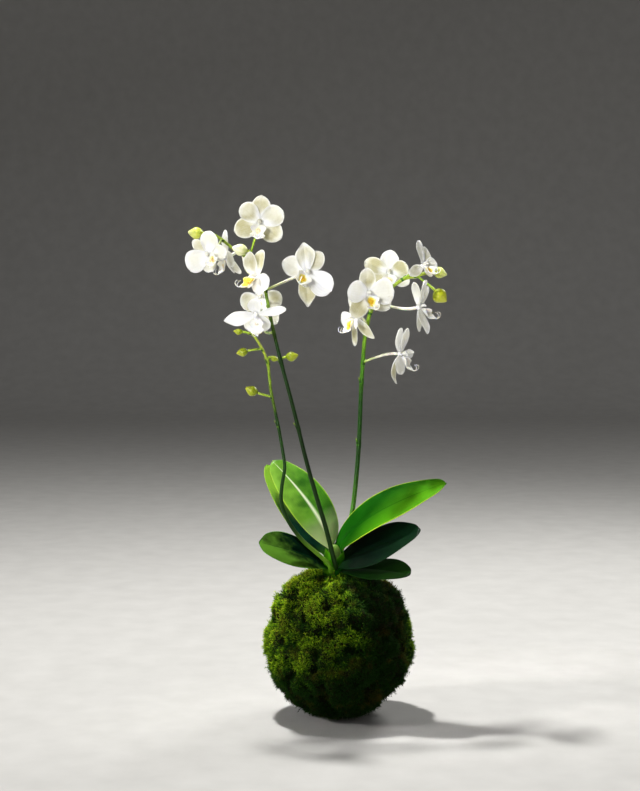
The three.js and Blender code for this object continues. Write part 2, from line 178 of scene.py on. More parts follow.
@dataclass(frozen=True)
class MossFinish:
    """Living sheet moss: tiny matt leaflets, darker at the root and yellow-green at the tip; painted shade
    makes the roots nearly black and painted light makes the tips bright.
    """

    name: str = "living_sheet_moss"
    # the root's near-black is partly the moss's own dark base and partly painted shade deep in the tufts
    root: str = "#050902"
    shade: str = "#1f4606"
    leaf: str = "#80ac0a"
    tip: str = "#e2e838"
    dry: str = "#8e7426"
    patch_mm: float = 15.0  # size of the browned patches
    patch_layout: float = 5.3  # the noise's fourth coordinate, which says where they fall

    def material(self) -> bpy.types.Material:
        """Build the material. A sprig's UV holds its tone, which carries painted light and shade, in x and
        the height from root to tip in y.
        """
        made, shader = new_material(self.name, {"Roughness": 0.8, "Specular IOR Level": 0.1})
        add = partial(add_node, made.node_tree)
        place = add("ShaderNodeTexCoord").outputs
        sprig = add("ShaderNodeSeparateXYZ", {0: place["UV"]}).outputs
        # the tone scales the height, so painted light brightens a sprig and painted shade darkens it
        reach = add("ShaderNodeMath", {0: sprig["X"], 1: 0.75, 2: 0.25}, operation="MULTIPLY_ADD").outputs[0]
        height = add("ShaderNodeMath", {0: sprig["Y"], 1: reach}, operation="MULTIPLY").outputs[0]
        ramp = ((0.0, self.root), (0.3, self.shade), (0.65, self.leaf), (1.0, self.tip))
        green = add("ShaderNodeValToRGB", {0: height}, ramp).outputs[0]
        patches = add(
            "ShaderNodeTexNoise",
            {
                "Vector": place["Object"],
                "W": self.patch_layout,
                "Scale": noise_scale(self.patch_mm),
                "Detail": 4.0,
                "Roughness": 0.65,
            },
            noise_dimensions="4D",
        ).outputs["Fac"]
        browned = add(
            "ShaderNodeMapRange", {"Value": patches, "From Min": 0.52, "From Max": 0.66, "To Max": 0.7}
        ).outputs[0]
        brown = add(
            "ShaderNodeMix",
            {FACTOR: 1.0, FIRST: green, SECOND: linear(self.dry)},
            data_type="RGBA",
            blend_type="MULTIPLY",
        ).outputs[MIXED]
        lifted = add(
            "ShaderNodeMix", {FACTOR: 0.35, FIRST: brown, SECOND: linear(self.dry)}, data_type="RGBA"
        ).outputs[MIXED]
        colour = add(
            "ShaderNodeMix", {FACTOR: browned, FIRST: green, SECOND: lifted}, data_type="RGBA"
        ).outputs[MIXED]
        made.node_tree.links.new(colour, shader.inputs["Base Color"])
        return made


@dataclass(frozen=True)
class MatFinish:
    """Moss felt or soil: a crumbly matt ground of old stalks and earth, in two dark colours."""

    name: str
    dark: str
    light: str
    grain_mm: float  # size of the crumbs
    depth_mm: float  # how far they stand out

    def material(self) -> bpy.types.Material:
        """Build the material on Object coordinates."""
        made, shader = new_material(self.name, {"Roughness": 0.95, "Specular IOR Level": 0.2})
        add = partial(add_node, made.node_tree)
        place = add("ShaderNodeTexCoord").outputs["Object"]
        crumbs = add(
            "ShaderNodeTexNoise",
            {"Vector": place, "Scale": noise_scale(self.grain_mm), "Detail": 6.0, "Roughness": 0.7},
        ).outputs["Fac"]
        colour = add("ShaderNodeValToRGB", {0: crumbs}, ((0.35, self.dark), (0.7, self.light))).outputs[0]
        bump = add("ShaderNodeBump", {"Height": crumbs, "Distance": self.depth_mm * MM, "Strength": 0.9})
        made.node_tree.links.new(colour, shader.inputs["Base Color"])
        made.node_tree.links.new(bump.outputs[0], shader.inputs["Normal"])
        return made


@dataclass(frozen=True)
class LeafFinish:
    """A thick waxy orchid leaf: a glossy cuticle over leathery green, paler below, with a light thin rim, and
    painted light and shade over the green.
    """

    name: str
    deep: str
    green: str
    rim: str
    midrib: str
    under: str
    # the pale foot where the leaf clasps the stem; on the sunlit leaf a near-white painted glare
    base: str  # the colour where the leaf clasps the stem
    # painted light: a lighter green where light falls on and shines through the leaf
    painted_glow: str  # the lighter green where light comes through
    glow_along: float  # how much the glow gathers towards the tip
    glow_across: float  # and towards its right edge, seen from its base
    glow_from: float  # where it starts
    pale_base: float = 0.2  # how far up the base's colour reaches
    mottle: float = 0.5  # how cloudy the glow is
    gloss: float = 0.05  # how strongly the cuticle mirrors
    shine: float = 0.02  # weight of the clear wax over it
    # on the sunlit leaf the pale midrib is a painted glare, broadest at the base
    rib: float = 0.07  # how far the pale midrib reaches at the base, as a part of the half width
    vein_count: int = 11  # real veins are 1.2 mm apart; drawn at about 1.7 mm, so that they show
    cloud_mm: float = 14.286  # size of the green's clouds
    pore_mm: float = 1.111  # the cuticle's pebbling, drawn coarser than it is, so that it shows
    relief_mm: float = 0.12

    def material(self) -> bpy.types.Material:
        """Build the material. The UV runs once round the blade in x and from base to tip in y."""
        made, shader = new_material(
            self.name,
            {
                "Roughness": 0.3,
                "IOR": 1.45,
                "Coat Weight": self.shine,
                "Coat Roughness": 0.15,
                "Specular IOR Level": self.gloss,
                "Subsurface Weight": 0.25,
                "Subsurface Radius": (0.4, 1.0, 0.15),
                "Subsurface Scale": 2.0 * MM,
            },
        )
        add = partial(add_node, made.node_tree)
        place = add("ShaderNodeTexCoord").outputs
        uv = add("ShaderNodeSeparateXYZ", {0: place["UV"]}).outputs
        turn = add("ShaderNodeMath", {0: uv["X"], 1: math.tau}, operation="MULTIPLY").outputs[0]
        across = add("ShaderNodeMath", {0: turn}, operation="COSINE").outputs[0]
        upper = add("ShaderNodeMath", {0: turn}, operation="SINE").outputs[0]
        outward = add("ShaderNodeMath", {0: across}, operation="ABSOLUTE").outputs[0]
        clouds, pebbling = noise_scale(self.cloud_mm), noise_scale(self.pore_mm)
        cloud = add(
            "ShaderNodeTexNoise",
            {"Vector": place["Object"], "Scale": clouds, "Detail": 3.0, "Roughness": 0.55},
        ).outputs["Fac"]
        wave = add(
            "ShaderNodeMath", {0: across, 1: self.vein_count * math.tau, 2: cloud}, operation="MULTIPLY_ADD"
        ).outputs[0]
        vein = add("ShaderNodeMath", {0: wave}, operation="SINE").outputs[0]
        tone = add("ShaderNodeMath", {0: vein, 1: 0.07, 2: cloud}, operation="MULTIPLY_ADD").outputs[0]
        body = add("ShaderNodeValToRGB", {0: tone}, ((0.3, self.deep), (0.68, self.green))).outputs[0]
        clear = 0.5 * (1 - self.mottle)
        # painted light gathered towards the tip and one edge, in clouds with painted shade between them
        cloudy = add(
            "ShaderNodeMath", {0: cloud, 1: self.mottle, 2: clear}, operation="MULTIPLY_ADD"
        ).outputs[0]
        tipward = add(
            "ShaderNodeMath", {0: uv["Y"], 1: self.glow_along, 2: cloudy}, operation="MULTIPLY_ADD"
        ).outputs[0]
        lit = add(
            "ShaderNodeMath", {0: across, 1: self.glow_across, 2: tipward}, operation="MULTIPLY_ADD"
        ).outputs[0]
        glowing = add(
            "ShaderNodeMapRange",
            {"Value": lit, "From Min": self.glow_from, "From Max": self.glow_from + 0.75},
            interpolation_type="SMOOTHSTEP",
        ).outputs[0]
        near_rim = add("ShaderNodeMapRange", {"Value": outward, "From Min": 0.93}).outputs[0]
        rib = add("ShaderNodeMapRange", {"Value": uv["Y"], "To Min": self.rib, "To Max": 0.02}).outputs[0]
        rib_and_glare_mask = add(
            "ShaderNodeMapRange", {"Value": outward, "From Max": rib, "To Min": 0.85, "To Max": 0.0}
        ).outputs[0]
        base_and_glare_mask = add(
            "ShaderNodeMapRange",
            {"Value": uv["Y"], "From Max": self.pale_base, "To Min": 0.85, "To Max": 0.0},
        ).outputs[0]
        below = add("ShaderNodeMath", {0: upper, 1: -0.05}, operation="LESS_THAN").outputs[0]
        # laid over the body: painted light, the midrib and the base (a near-white painted glare on the sunlit
        # leaf), the paler underside and the rim
        colour = body
        for factor, hex_colour in (
            (glowing, self.painted_glow),
            (rib_and_glare_mask, self.midrib),
            (below, self.under),
            (near_rim, self.rim),
            (base_and_glare_mask, self.base),
        ):
            colour = add(
                "ShaderNodeMix", {FACTOR: factor, FIRST: colour, SECOND: linear(hex_colour)}, data_type="RGBA"
            ).outputs[MIXED]
        pores = add(
            "ShaderNodeTexNoise", {"Vector": place["Object"], "Scale": pebbling, "Detail": 2.0}
        ).outputs["Fac"]
        relief = add("ShaderNodeMath", {0: vein, 1: 0.35, 2: pores}, operation="MULTIPLY_ADD").outputs[0]
        bump = add("ShaderNodeBump", {"Height": relief, "Distance": self.relief_mm * MM, "Strength": 0.35})
        rough = add("ShaderNodeMapRange", {"Value": cloud, "To Min": 0.26, "To Max": 0.46}).outputs[0]
        links = made.node_tree.links
        links.new(colour, shader.inputs["Base Color"])
        links.new(bump.outputs[0], shader.inputs["Normal"])
        links.new(rough, shader.inputs["Roughness"])
        return made


@dataclass(frozen=True)
class StemFinish:
    """A fresh flower spike or stalk: smooth firm skin with a dull shine, its green fading along it; on the
    spikes that fading is partly painted light and shade.
    """

    name: str
    stops: tuple[tuple[float, str], ...]  # share of the length and colour
    fleck_mm: float = 3.846  # size of its lighter and darker flecks
    relief_mm: float = 0.15

    def material(self) -> bpy.types.Material:
        """Build the material. The UV's y runs from foot to tip."""
        made, shader = new_material(
            self.name,
            {
                "Roughness": 0.42,
                "IOR": 1.45,
                "Specular IOR Level": 0.25,
                "Subsurface Weight": 0.15,
                "Subsurface Radius": (0.5, 1.0, 0.2),
                "Subsurface Scale": 1.5 * MM,
            },
        )
        add = partial(add_node, made.node_tree)
        place = add("ShaderNodeTexCoord").outputs
        uv = add("ShaderNodeSeparateXYZ", {0: place["UV"]}).outputs
        flecks = noise_scale(self.fleck_mm)
        cloud = add(
            "ShaderNodeTexNoise",
            {"Vector": place["Object"], "Scale": flecks, "Detail": 4.0, "Roughness": 0.6},
        ).outputs["Fac"]
        shift = add("ShaderNodeMapRange", {"Value": cloud, "To Min": -0.05, "To Max": 0.05}).outputs[0]
        share = add("ShaderNodeMath", {0: uv["Y"], 1: shift}, operation="ADD").outputs[0]
        green = add("ShaderNodeValToRGB", {0: share}, self.stops).outputs[0]
        fleck = add(
            "ShaderNodeMapRange",
            {"Value": cloud, "From Min": 0.35, "From Max": 0.7, "To Min": 0.78, "To Max": 1.18},
        ).outputs[0]
        colour = add("ShaderNodeHueSaturation", {"Value": fleck, "Color": green}).outputs[0]
        bump = add("ShaderNodeBump", {"Height": cloud, "Distance": self.relief_mm * MM, "Strength": 0.4})
        made.node_tree.links.new(colour, shader.inputs["Base Color"])
        made.node_tree.links.new(bump.outputs[0], shader.inputs["Normal"])
        return made


@dataclass(frozen=True)
class PetalFinish:
    """A fleshy white petal: light goes into it and glows, with painted cream shade and the faintest veins."""

    name: str = "white_orchid_petal"
    white: str = "#fdfdfb"
    # the cream-grey of the painted shade
    cream: str = "#b9b491"
    vein: str = "#dcdac4"
    vein_count: int = 9  # a petal has twice as many; these are the ones that show
    cloud_mm: float = 8.333  # size of the shade's soft clouds
    cell_mm: float = 0.667  # the glittering cells, drawn coarser than they are, so that they show
    relief_mm: float = 0.14

    def material(self) -> bpy.types.Material:
        """Build the material. The UV runs once round the blade in x, and the tone is painted shade: 0 is
        white and 1 cream-grey.
        """
        made, shader = new_material(
            self.name,
            {
                "Roughness": 0.55,
                "IOR": 1.42,
                "Sheen Weight": 0.1,
                "Sheen Roughness": 0.4,
                "Subsurface Weight": 0.5,
                "Subsurface Radius": (1.0, 0.97, 0.8),
                "Subsurface Scale": 2.0 * MM,
            },
        )
        add = partial(add_node, made.node_tree)
        place = add("ShaderNodeTexCoord").outputs
        uv = add("ShaderNodeSeparateXYZ", {0: place["UV"]}).outputs
        tone = add("ShaderNodeAttribute", attribute_type="GEOMETRY", attribute_name="tone").outputs["Fac"]
        turn = add("ShaderNodeMath", {0: uv["X"], 1: math.tau}, operation="MULTIPLY").outputs[0]
        across = add("ShaderNodeMath", {0: turn}, operation="COSINE").outputs[0]
        clouds, glitter = noise_scale(self.cloud_mm), noise_scale(self.cell_mm)
        cloud = add(
            "ShaderNodeTexNoise",
            {"Vector": place["Object"], "Scale": clouds, "Detail": 3.0, "Roughness": 0.6},
        ).outputs["Fac"]
        uneven = add(
            "ShaderNodeMapRange",
            {"Value": cloud, "From Min": 0.3, "From Max": 0.7, "To Min": 0.72, "To Max": 1.3},
        ).outputs[0]
        # painted shade: the points' tone, made uneven in soft clouds
        shaded = add(
            "ShaderNodeMath", {0: tone, 1: uneven}, operation="MULTIPLY", use_clamp=True
        ).outputs[0]
        plain = add(
            "ShaderNodeMix",
            {FACTOR: shaded, FIRST: linear(self.white), SECOND: linear(self.cream)},
            data_type="RGBA",
        ).outputs[MIXED]
        wander = add("ShaderNodeMath", {0: cloud, 1: 4.5}, operation="MULTIPLY").outputs[0]
        wave = add(
            "ShaderNodeMath", {0: across, 1: self.vein_count * math.pi, 2: wander}, operation="MULTIPLY_ADD"
        ).outputs[0]
        ripple = add("ShaderNodeMath", {0: wave}, operation="SINE").outputs[0]
        vein = add("ShaderNodeMapRange", {"Value": ripple, "From Min": 0.6, "To Max": 0.14}).outputs[0]
        colour = add(
            "ShaderNodeMix", {FACTOR: vein, FIRST: plain, SECOND: linear(self.vein)}, data_type="RGBA"
        ).outputs[MIXED]
        cells = add(
            "ShaderNodeTexNoise", {"Vector": place["Object"], "Scale": glitter, "Detail": 2.0}
        ).outputs["Fac"]
        relief = add("ShaderNodeMath", {0: ripple, 1: -0.25, 2: cells}, operation="MULTIPLY_ADD").outputs[0]
        bump = add("ShaderNodeBump", {"Height": relief, "Distance": self.relief_mm * MM, "Strength": 0.2})
        links = made.node_tree.links
        links.new(colour, shader.inputs["Base Color"])
        links.new(bump.outputs[0], shader.inputs["Normal"])
        return made


@dataclass(frozen=True)
class LipFinish:
    """The lip's waxy flesh: white lobes round a golden throat with fine rusty bars."""

    name: str = "waxy_orchid_lip"
    white: str = "#fdfcf2"
    yellow: str = "#f2df4c"
    gold: str = "#e6bb26"
    bar: str = "#b9831f"
    cloud_mm: float = 1.4286  # size of the ragged edge of the gold
    heart: float = 0.36  # where the gold is deepest, as a share of the length
    relief_mm: float = 0.1

    def material(self) -> bpy.types.Material:
        """Build the material. The UV runs once round the sheet in x and from foot to tip in y.

        The points' tone says how golden the throat is.
        """
        made, shader = new_material(
            self.name,
            {
                "Roughness": 0.38,
                "IOR": 1.45,
                "Subsurface Weight": 0.35,
                "Subsurface Radius": (1.0, 0.8, 0.4),
                "Subsurface Scale": 1.5 * MM,
            },
        )
        add = partial(add_node, made.node_tree)
        place = add("ShaderNodeTexCoord").outputs
        uv = add("ShaderNodeSeparateXYZ", {0: place["UV"]}).outputs
        turn = add("ShaderNodeMath", {0: uv["X"], 1: math.tau}, operation="MULTIPLY").outputs[0]
        across = add("ShaderNodeMath", {0: turn}, operation="COSINE").outputs[0]
        outward = add("ShaderNodeMath", {0: across}, operation="ABSOLUTE").outputs[0]
        clouds = noise_scale(self.cloud_mm)
        cloud = add(
            "ShaderNodeTexNoise", {"Vector": place["Object"], "Scale": clouds, "Detail": 3.0}
        ).outputs["Fac"]
        along = add("ShaderNodeMath", {0: uv["Y"], 1: self.heart}, operation="SUBTRACT").outputs[0]
        ahead = add("ShaderNodeMath", {0: along, 1: 2.3}, operation="MULTIPLY").outputs[0]
        offset = add("ShaderNodeCombineXYZ", {"X": outward, "Y": ahead}).outputs[0]
        distance = add("ShaderNodeVectorMath", {0: offset}, operation="LENGTH").outputs["Value"]
        tone = add("ShaderNodeAttribute", attribute_type="GEOMETRY", attribute_name="tone").outputs["Fac"]
        widened = add("ShaderNodeMath", {0: tone, 1: 0.6, 2: 0.4}, operation="MULTIPLY_ADD").outputs[0]
        nearer = add("ShaderNodeMath", {0: distance, 1: widened}, operation="DIVIDE").outputs[0]
        spread = add("ShaderNodeMath", {0: cloud, 1: 0.35, 2: nearer}, operation="MULTIPLY_ADD").outputs[0]
        ramp = ((0.42, self.gold), (0.66, self.yellow), (0.9, self.white))
        throat = add("ShaderNodeValToRGB", {0: spread}, ramp).outputs[0]
        body = add(
            "ShaderNodeMix", {FACTOR: tone, FIRST: linear(self.white), SECOND: throat}, data_type="RGBA"
        ).outputs[MIXED]
        stripe = add("ShaderNodeMath", {0: uv["Y"], 1: 95.0}, operation="MULTIPLY").outputs[0]
        stripes = add("ShaderNodeMath", {0: stripe}, operation="SINE").outputs[0]
        inside = add("ShaderNodeMapRange", {"Value": spread, "From Min": 0.8, "From Max": 0.5}).outputs[0]
        barred = add("ShaderNodeMapRange", {"Value": stripes, "From Min": 0.5, "To Max": 0.4}).outputs[0]
        strong = add("ShaderNodeMath", {0: barred, 1: tone}, operation="MULTIPLY").outputs[0]
        bars = add("ShaderNodeMath", {0: strong, 1: inside}, operation="MULTIPLY").outputs[0]
        colour = add(
            "ShaderNodeMix", {FACTOR: bars, FIRST: body, SECOND: linear(self.bar)}, data_type="RGBA"
        ).outputs[MIXED]
        bump = add("ShaderNodeBump", {"Height": cloud, "Distance": self.relief_mm * MM, "Strength": 0.4})
        made.node_tree.links.new(colour, shader.inputs["Base Color"])
        made.node_tree.links.new(bump.outputs[0], shader.inputs["Normal"])
        return made


@dataclass(frozen=True)
class BudFinish:
    """A closed bud: satiny yellow-green skin, greener at the foot and creamy where the sepals swell."""

    name: str
    foot: str
    body: str
    tip: str
    vein_count: int = 9
    cloud_mm: float = 2.381  # size of the mottling
    relief_mm: float = 0.15

    def material(self) -> bpy.types.Material:
        """Build the material. The UV's y runs from foot to tip."""
        made, shader = new_material(
            self.name,
            {
                "Roughness": 0.34,
                "IOR": 1.45,
                "Subsurface Weight": 0.3,
                "Subsurface Radius": (0.9, 1.0, 0.3),
                "Subsurface Scale": 2.5 * MM,
            },
        )
        add = partial(add_node, made.node_tree)
        place = add("ShaderNodeTexCoord").outputs
        uv = add("ShaderNodeSeparateXYZ", {0: place["UV"]}).outputs
        clouds = noise_scale(self.cloud_mm)
        cloud = add(
            "ShaderNodeTexNoise",
            {"Vector": place["Object"], "Scale": clouds, "Detail": 3.0, "Roughness": 0.6},
        ).outputs["Fac"]
        shift = add("ShaderNodeMapRange", {"Value": cloud, "To Min": -0.12, "To Max": 0.12}).outputs[0]
        share = add("ShaderNodeMath", {0: uv["Y"], 1: shift}, operation="ADD").outputs[0]
        ramp = ((0.05, self.foot), (0.45, self.body), (0.85, self.tip))
        body = add("ShaderNodeValToRGB", {0: share}, ramp).outputs[0]
        turn = add(
            "ShaderNodeMath", {0: uv["X"], 1: self.vein_count * math.tau, 2: cloud}, operation="MULTIPLY_ADD"
        ).outputs[0]
        lines = add("ShaderNodeMath", {0: turn}, operation="SINE").outputs[0]
        vein = add("ShaderNodeMapRange", {"Value": lines, "From Min": 0.2, "To Max": 0.22}).outputs[0]
        colour = add(
            "ShaderNodeMix", {FACTOR: vein, FIRST: body, SECOND: linear(self.foot)}, data_type="RGBA"
        ).outputs[MIXED]
        bump = add("ShaderNodeBump", {"Height": cloud, "Distance": self.relief_mm * MM, "Strength": 0.3})
        made.node_tree.links.new(colour, shader.inputs["Base Color"])
        made.node_tree.links.new(bump.outputs[0], shader.inputs["Normal"])
        return made


# ---- Curves ----


class Rail:
    """A curve that is walked by equal steps of length."""

    def __init__(self, points: Sequence[Vector]) -> None:
        """Take the curve as a fine row of points.

        Args:
            points: The row, with at least two points.
        """
        self.points = list(points)
        self.lengths = [0.0]
        for before, after in zip(self.points, self.points[1:]):
            self.lengths.append(self.lengths[-1] + (after - before).length)

    @classmethod
    def spline(cls, knots: Sequence[Point | Vector], fineness: int = 16) -> "Rail":
        """Lay a Catmull-Rom spline through knots, as the solids do.

        Args:
            knots: Points that the curve goes through.
            fineness: Steps from one knot to the next.

        Returns:
            The curve.
        """
        known = [Vector(k) for k in knots]
        known = [2 * known[0] - known[1], *known, 2 * known[-1] - known[-2]]
        points = []
        for a, b, c, d in zip(known, known[1:], known[2:], known[3:]):
            for step in range(fineness):
                t = step / fineness
                points.append(
                    b
                    + (c - a) * (0.5 * t)
                    + (2 * a - 5 * b + 4 * c - d) * (0.5 * t * t)
                    + (3 * b - a - 3 * c + d) * (0.5 * t**3)
                )
        return cls([*points, known[-2]])

    @classmethod
    def bezier(cls, knots: Sequence[Point | Vector], fineness: int = 40) -> "Rail":
        """Lay a cubic Bezier curve over four knots."""
        return cls([bezier_point(knots, step / fineness) for step in range(fineness + 1)])

    def at(self, share: float) -> Vector:
        """Find the point at a share of the length.

        Args:
            share: From 0 at the foot to 1 at the tip.

        Returns:
            The point.
        """
        goal = min(max(share, 0.0), 1.0) * self.lengths[-1]
        low, high = 0, len(self.lengths) - 1
        while high - low > 1:
            middle = (low + high) // 2
            low, high = (middle, high) if self.lengths[middle] <= goal else (low, middle)
        step = self.lengths[high] - self.lengths[low]
        return self.points[low].lerp(self.points[high], (goal - self.lengths[low]) / step if step else 0.0)

    def along(self, share: float) -> Vector:
        """Find the unit direction at a share of the length."""
        return (self.at(share + 0.005) - self.at(share - 0.005)).normalized()

    def frames(self, shares: Sequence[float]) -> list[tuple[Vector, Vector, Vector]]:
        """Carry a frame along the curve without twisting it.

        Args:
            shares: Rising shares of the length.

        Returns:
            A point and two unit vectors across the curve for each share.
        """
        before = self.along(shares[0])
        side = before.orthogonal().normalized()
        made = []
        for share in shares:
            now = self.along(share)
            side = before.rotation_difference(now) @ side
            before = now
            made.append((self.at(share), side.copy(), now.cross(side)))
        return made


def bezier_point(knots: Sequence[Point | Vector], t: float) -> Vector:
    """Find a point of a cubic Bezier curve.

    Args:
        knots: The curve's four points.
        t: Where on it, from 0 to 1.

    Returns:
        The point.
    """
    a, b, c, d = (Vector(k) for k in knots)
    s = 1 - t
    return a * s**3 + b * (3 * s * s * t) + c * (3 * s * t * t) + d * t**3


def smooth(low: float, high: float, value: float) -> float:
    """Rise smoothly from 0 at low to 1 at high."""
    t = min(1.0, max(0.0, (value - low) / (high - low)))
    return t * t * (3 - 2 * t)


def fraction(n: int) -> float:
    """Give the fixed number from 0 to 1 that the solids use for item n."""
    s = math.sin(n * 12.9898 + 4.137) * 43758.5453
    return s - math.floor(s)


ROUND_END = 0.94  # where a blade's end starts to round off


@dataclass(frozen=True)
class Outline:
    """How wide a petal or leaf is along its length, as a part of its full width."""

    fullest: float
    blunt: float
    claw: float
    point: float = 0.0  # how much its end is drawn to a point

    def at(self, u: float) -> float:
        """Give the width at a place along the petal or leaf.

        Args:
            u: The share of its length.

        Returns:
            The share of its full width.
        """
        full = math.sin(math.pi * (0.03 + 0.955 * u) ** self.fullest) ** self.blunt
        drawn = 1 - self.point * smooth(0.6, 1.0, u)
        rounded = math.sqrt(max(0.0, 1 - (max(0.0, u - ROUND_END) / (1 - ROUND_END)) ** 2))
        return max(self.claw * (1 - u), full) * drawn * rounded


# ---- Shapes ----

Surface = Callable[[float, float], Vector]


def add_blade(
    shape: bmesh.types.BMesh,
    surface: Surface,
    thickness: Callable[[float, float], float],
    along: int,
    around: int,
    flatness: float = 0.45,
    tone: Callable[[float, float], float] | None = None,
) -> None:
    """Add a thin closed blade, whose upper face follows a surface and whose rim is rounded.

    Args:
        shape: The mesh to add to.
        surface: The upper face, from u along it (0 to 1) and v across it (-1 to 1).
        thickness: The blade's thickness at u and v.
        along: Faces from base to tip.
        around: Faces once round a cross-section.
        flatness: The lower, the flatter the two faces.
        tone: What the points' "tone" attribute holds at u and v, where a finish reads it.
    """
    uv = shape.loops.layers.uv.verify()
    tones = shape.verts.layers.float.get("tone") or shape.verts.layers.float.new("tone") if tone else None
    step = 1e-3
    grid = bmesh.ops.create_grid(shape, x_segments=around, y_segments=along, size=0.5, calc_uvs=True)["verts"]
    faces = {face for vertex in grid for face in vertex.link_faces}
    for face in faces:
        for loop in face.loops:
            loop[uv].uv.y = math.sin(loop[uv].uv.y * math.pi / 2)
    for vertex in grid:
        turn = math.tau * (vertex.co.x + 0.5)
        u = math.sin((vertex.co.y + 0.5) * math.pi / 2)
        v, lift = math.cos(turn), math.sin(turn)
        inside = min(max(u, 2 * step), 1 - 2 * step)
        forward = surface(inside + step, v) - surface(inside - step, v)
        across = surface(inside, v + step) - surface(inside, v - step)
        normal = across.cross(forward).normalized()
        ends = min(1.0, (u + 1e-9) / 0.02, (1 - u + 1e-9) / 0.02)
        depth = thickness(u, v) * (math.copysign(abs(lift) ** flatness, lift) * max(ends, 0.0) - 1) / 2
        vertex.co = surface(u, v) + normal * depth
        if tones:
            vertex[tones] = tone(u, v)
    bmesh.ops.remove_doubles(shape, verts=grid, dist=1e-4)


def add_tube(
    shape: bmesh.types.BMesh, rail: Rail, radius: Callable[[float], float], rings: int, sides: int
) -> None:
    """Add a closed round tube along a rail.

    Args:
        shape: The mesh to add to.
        rail: The tube's middle line.
        radius: The radius at a share of the length.
        rings: Faces along it.
        sides: Faces round it.
    """
    rows = rings + 2  # the first and the last row are the end caps
    shares = [min(max((row - 1) / rings, 0.0), 1.0) for row in range(rows + 1)]
    frames = rail.frames(shares)
    shape.loops.layers.uv.verify()
    grid = bmesh.ops.create_grid(shape, x_segments=sides, y_segments=rows, size=0.5, calc_uvs=True)["verts"]
    for vertex in grid:
        turn = math.tau * (vertex.co.x + 0.5)
        row = round((vertex.co.y + 0.5) * rows)
        point, side, over = frames[row]
        reach = 0.0 if row in (0, rows) else radius(shares[row])
        vertex.co = point + side * (reach * math.cos(turn)) + over * (reach * math.sin(turn))
    bmesh.ops.remove_doubles(shape, verts=grid, dist=1e-5)


def finish_piece(
    shape: bmesh.types.BMesh,
    name: str,
    material: bpy.types.Material,
    replaces: Sequence[str] = (),
    subdivided: bool = True,
) -> None:
    """Turn a shape in millimetres into a finished piece, at the origin and riding on the object's one body.

    Args:
        shape: The mesh, which is freed.
        name: The piece's name.
        material: Its finish.
        replaces: The solids that it stands for.
        subdivided: Whether a Subdivision Surface smooths it.
    """
    bmesh.ops.recalc_face_normals(shape, faces=shape.faces)
    bmesh.ops.scale(shape, vec=(MM, MM, MM), verts=shape.verts)
    mesh = bpy.data.meshes.new(name)
    shape.to_mesh(mesh)
    shape.free()
    mesh.shade_smooth()
    mesh.materials.append(material)
    piece = bpy.data.objects.new(name, mesh)
    bpy.context.scene.collection.objects.link(piece)
    if subdivided:
        modifier = piece.modifiers.new("rounding", "SUBSURF")
        modifier.levels = modifier.render_levels = 1
    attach(piece, "root")
    if replaces:
        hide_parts(*replaces)
    LOG.info("%s: %d faces, stands for %s", name, len(mesh.polygons), ", ".join(replaces) or "nothing")


# ---- The ball ----


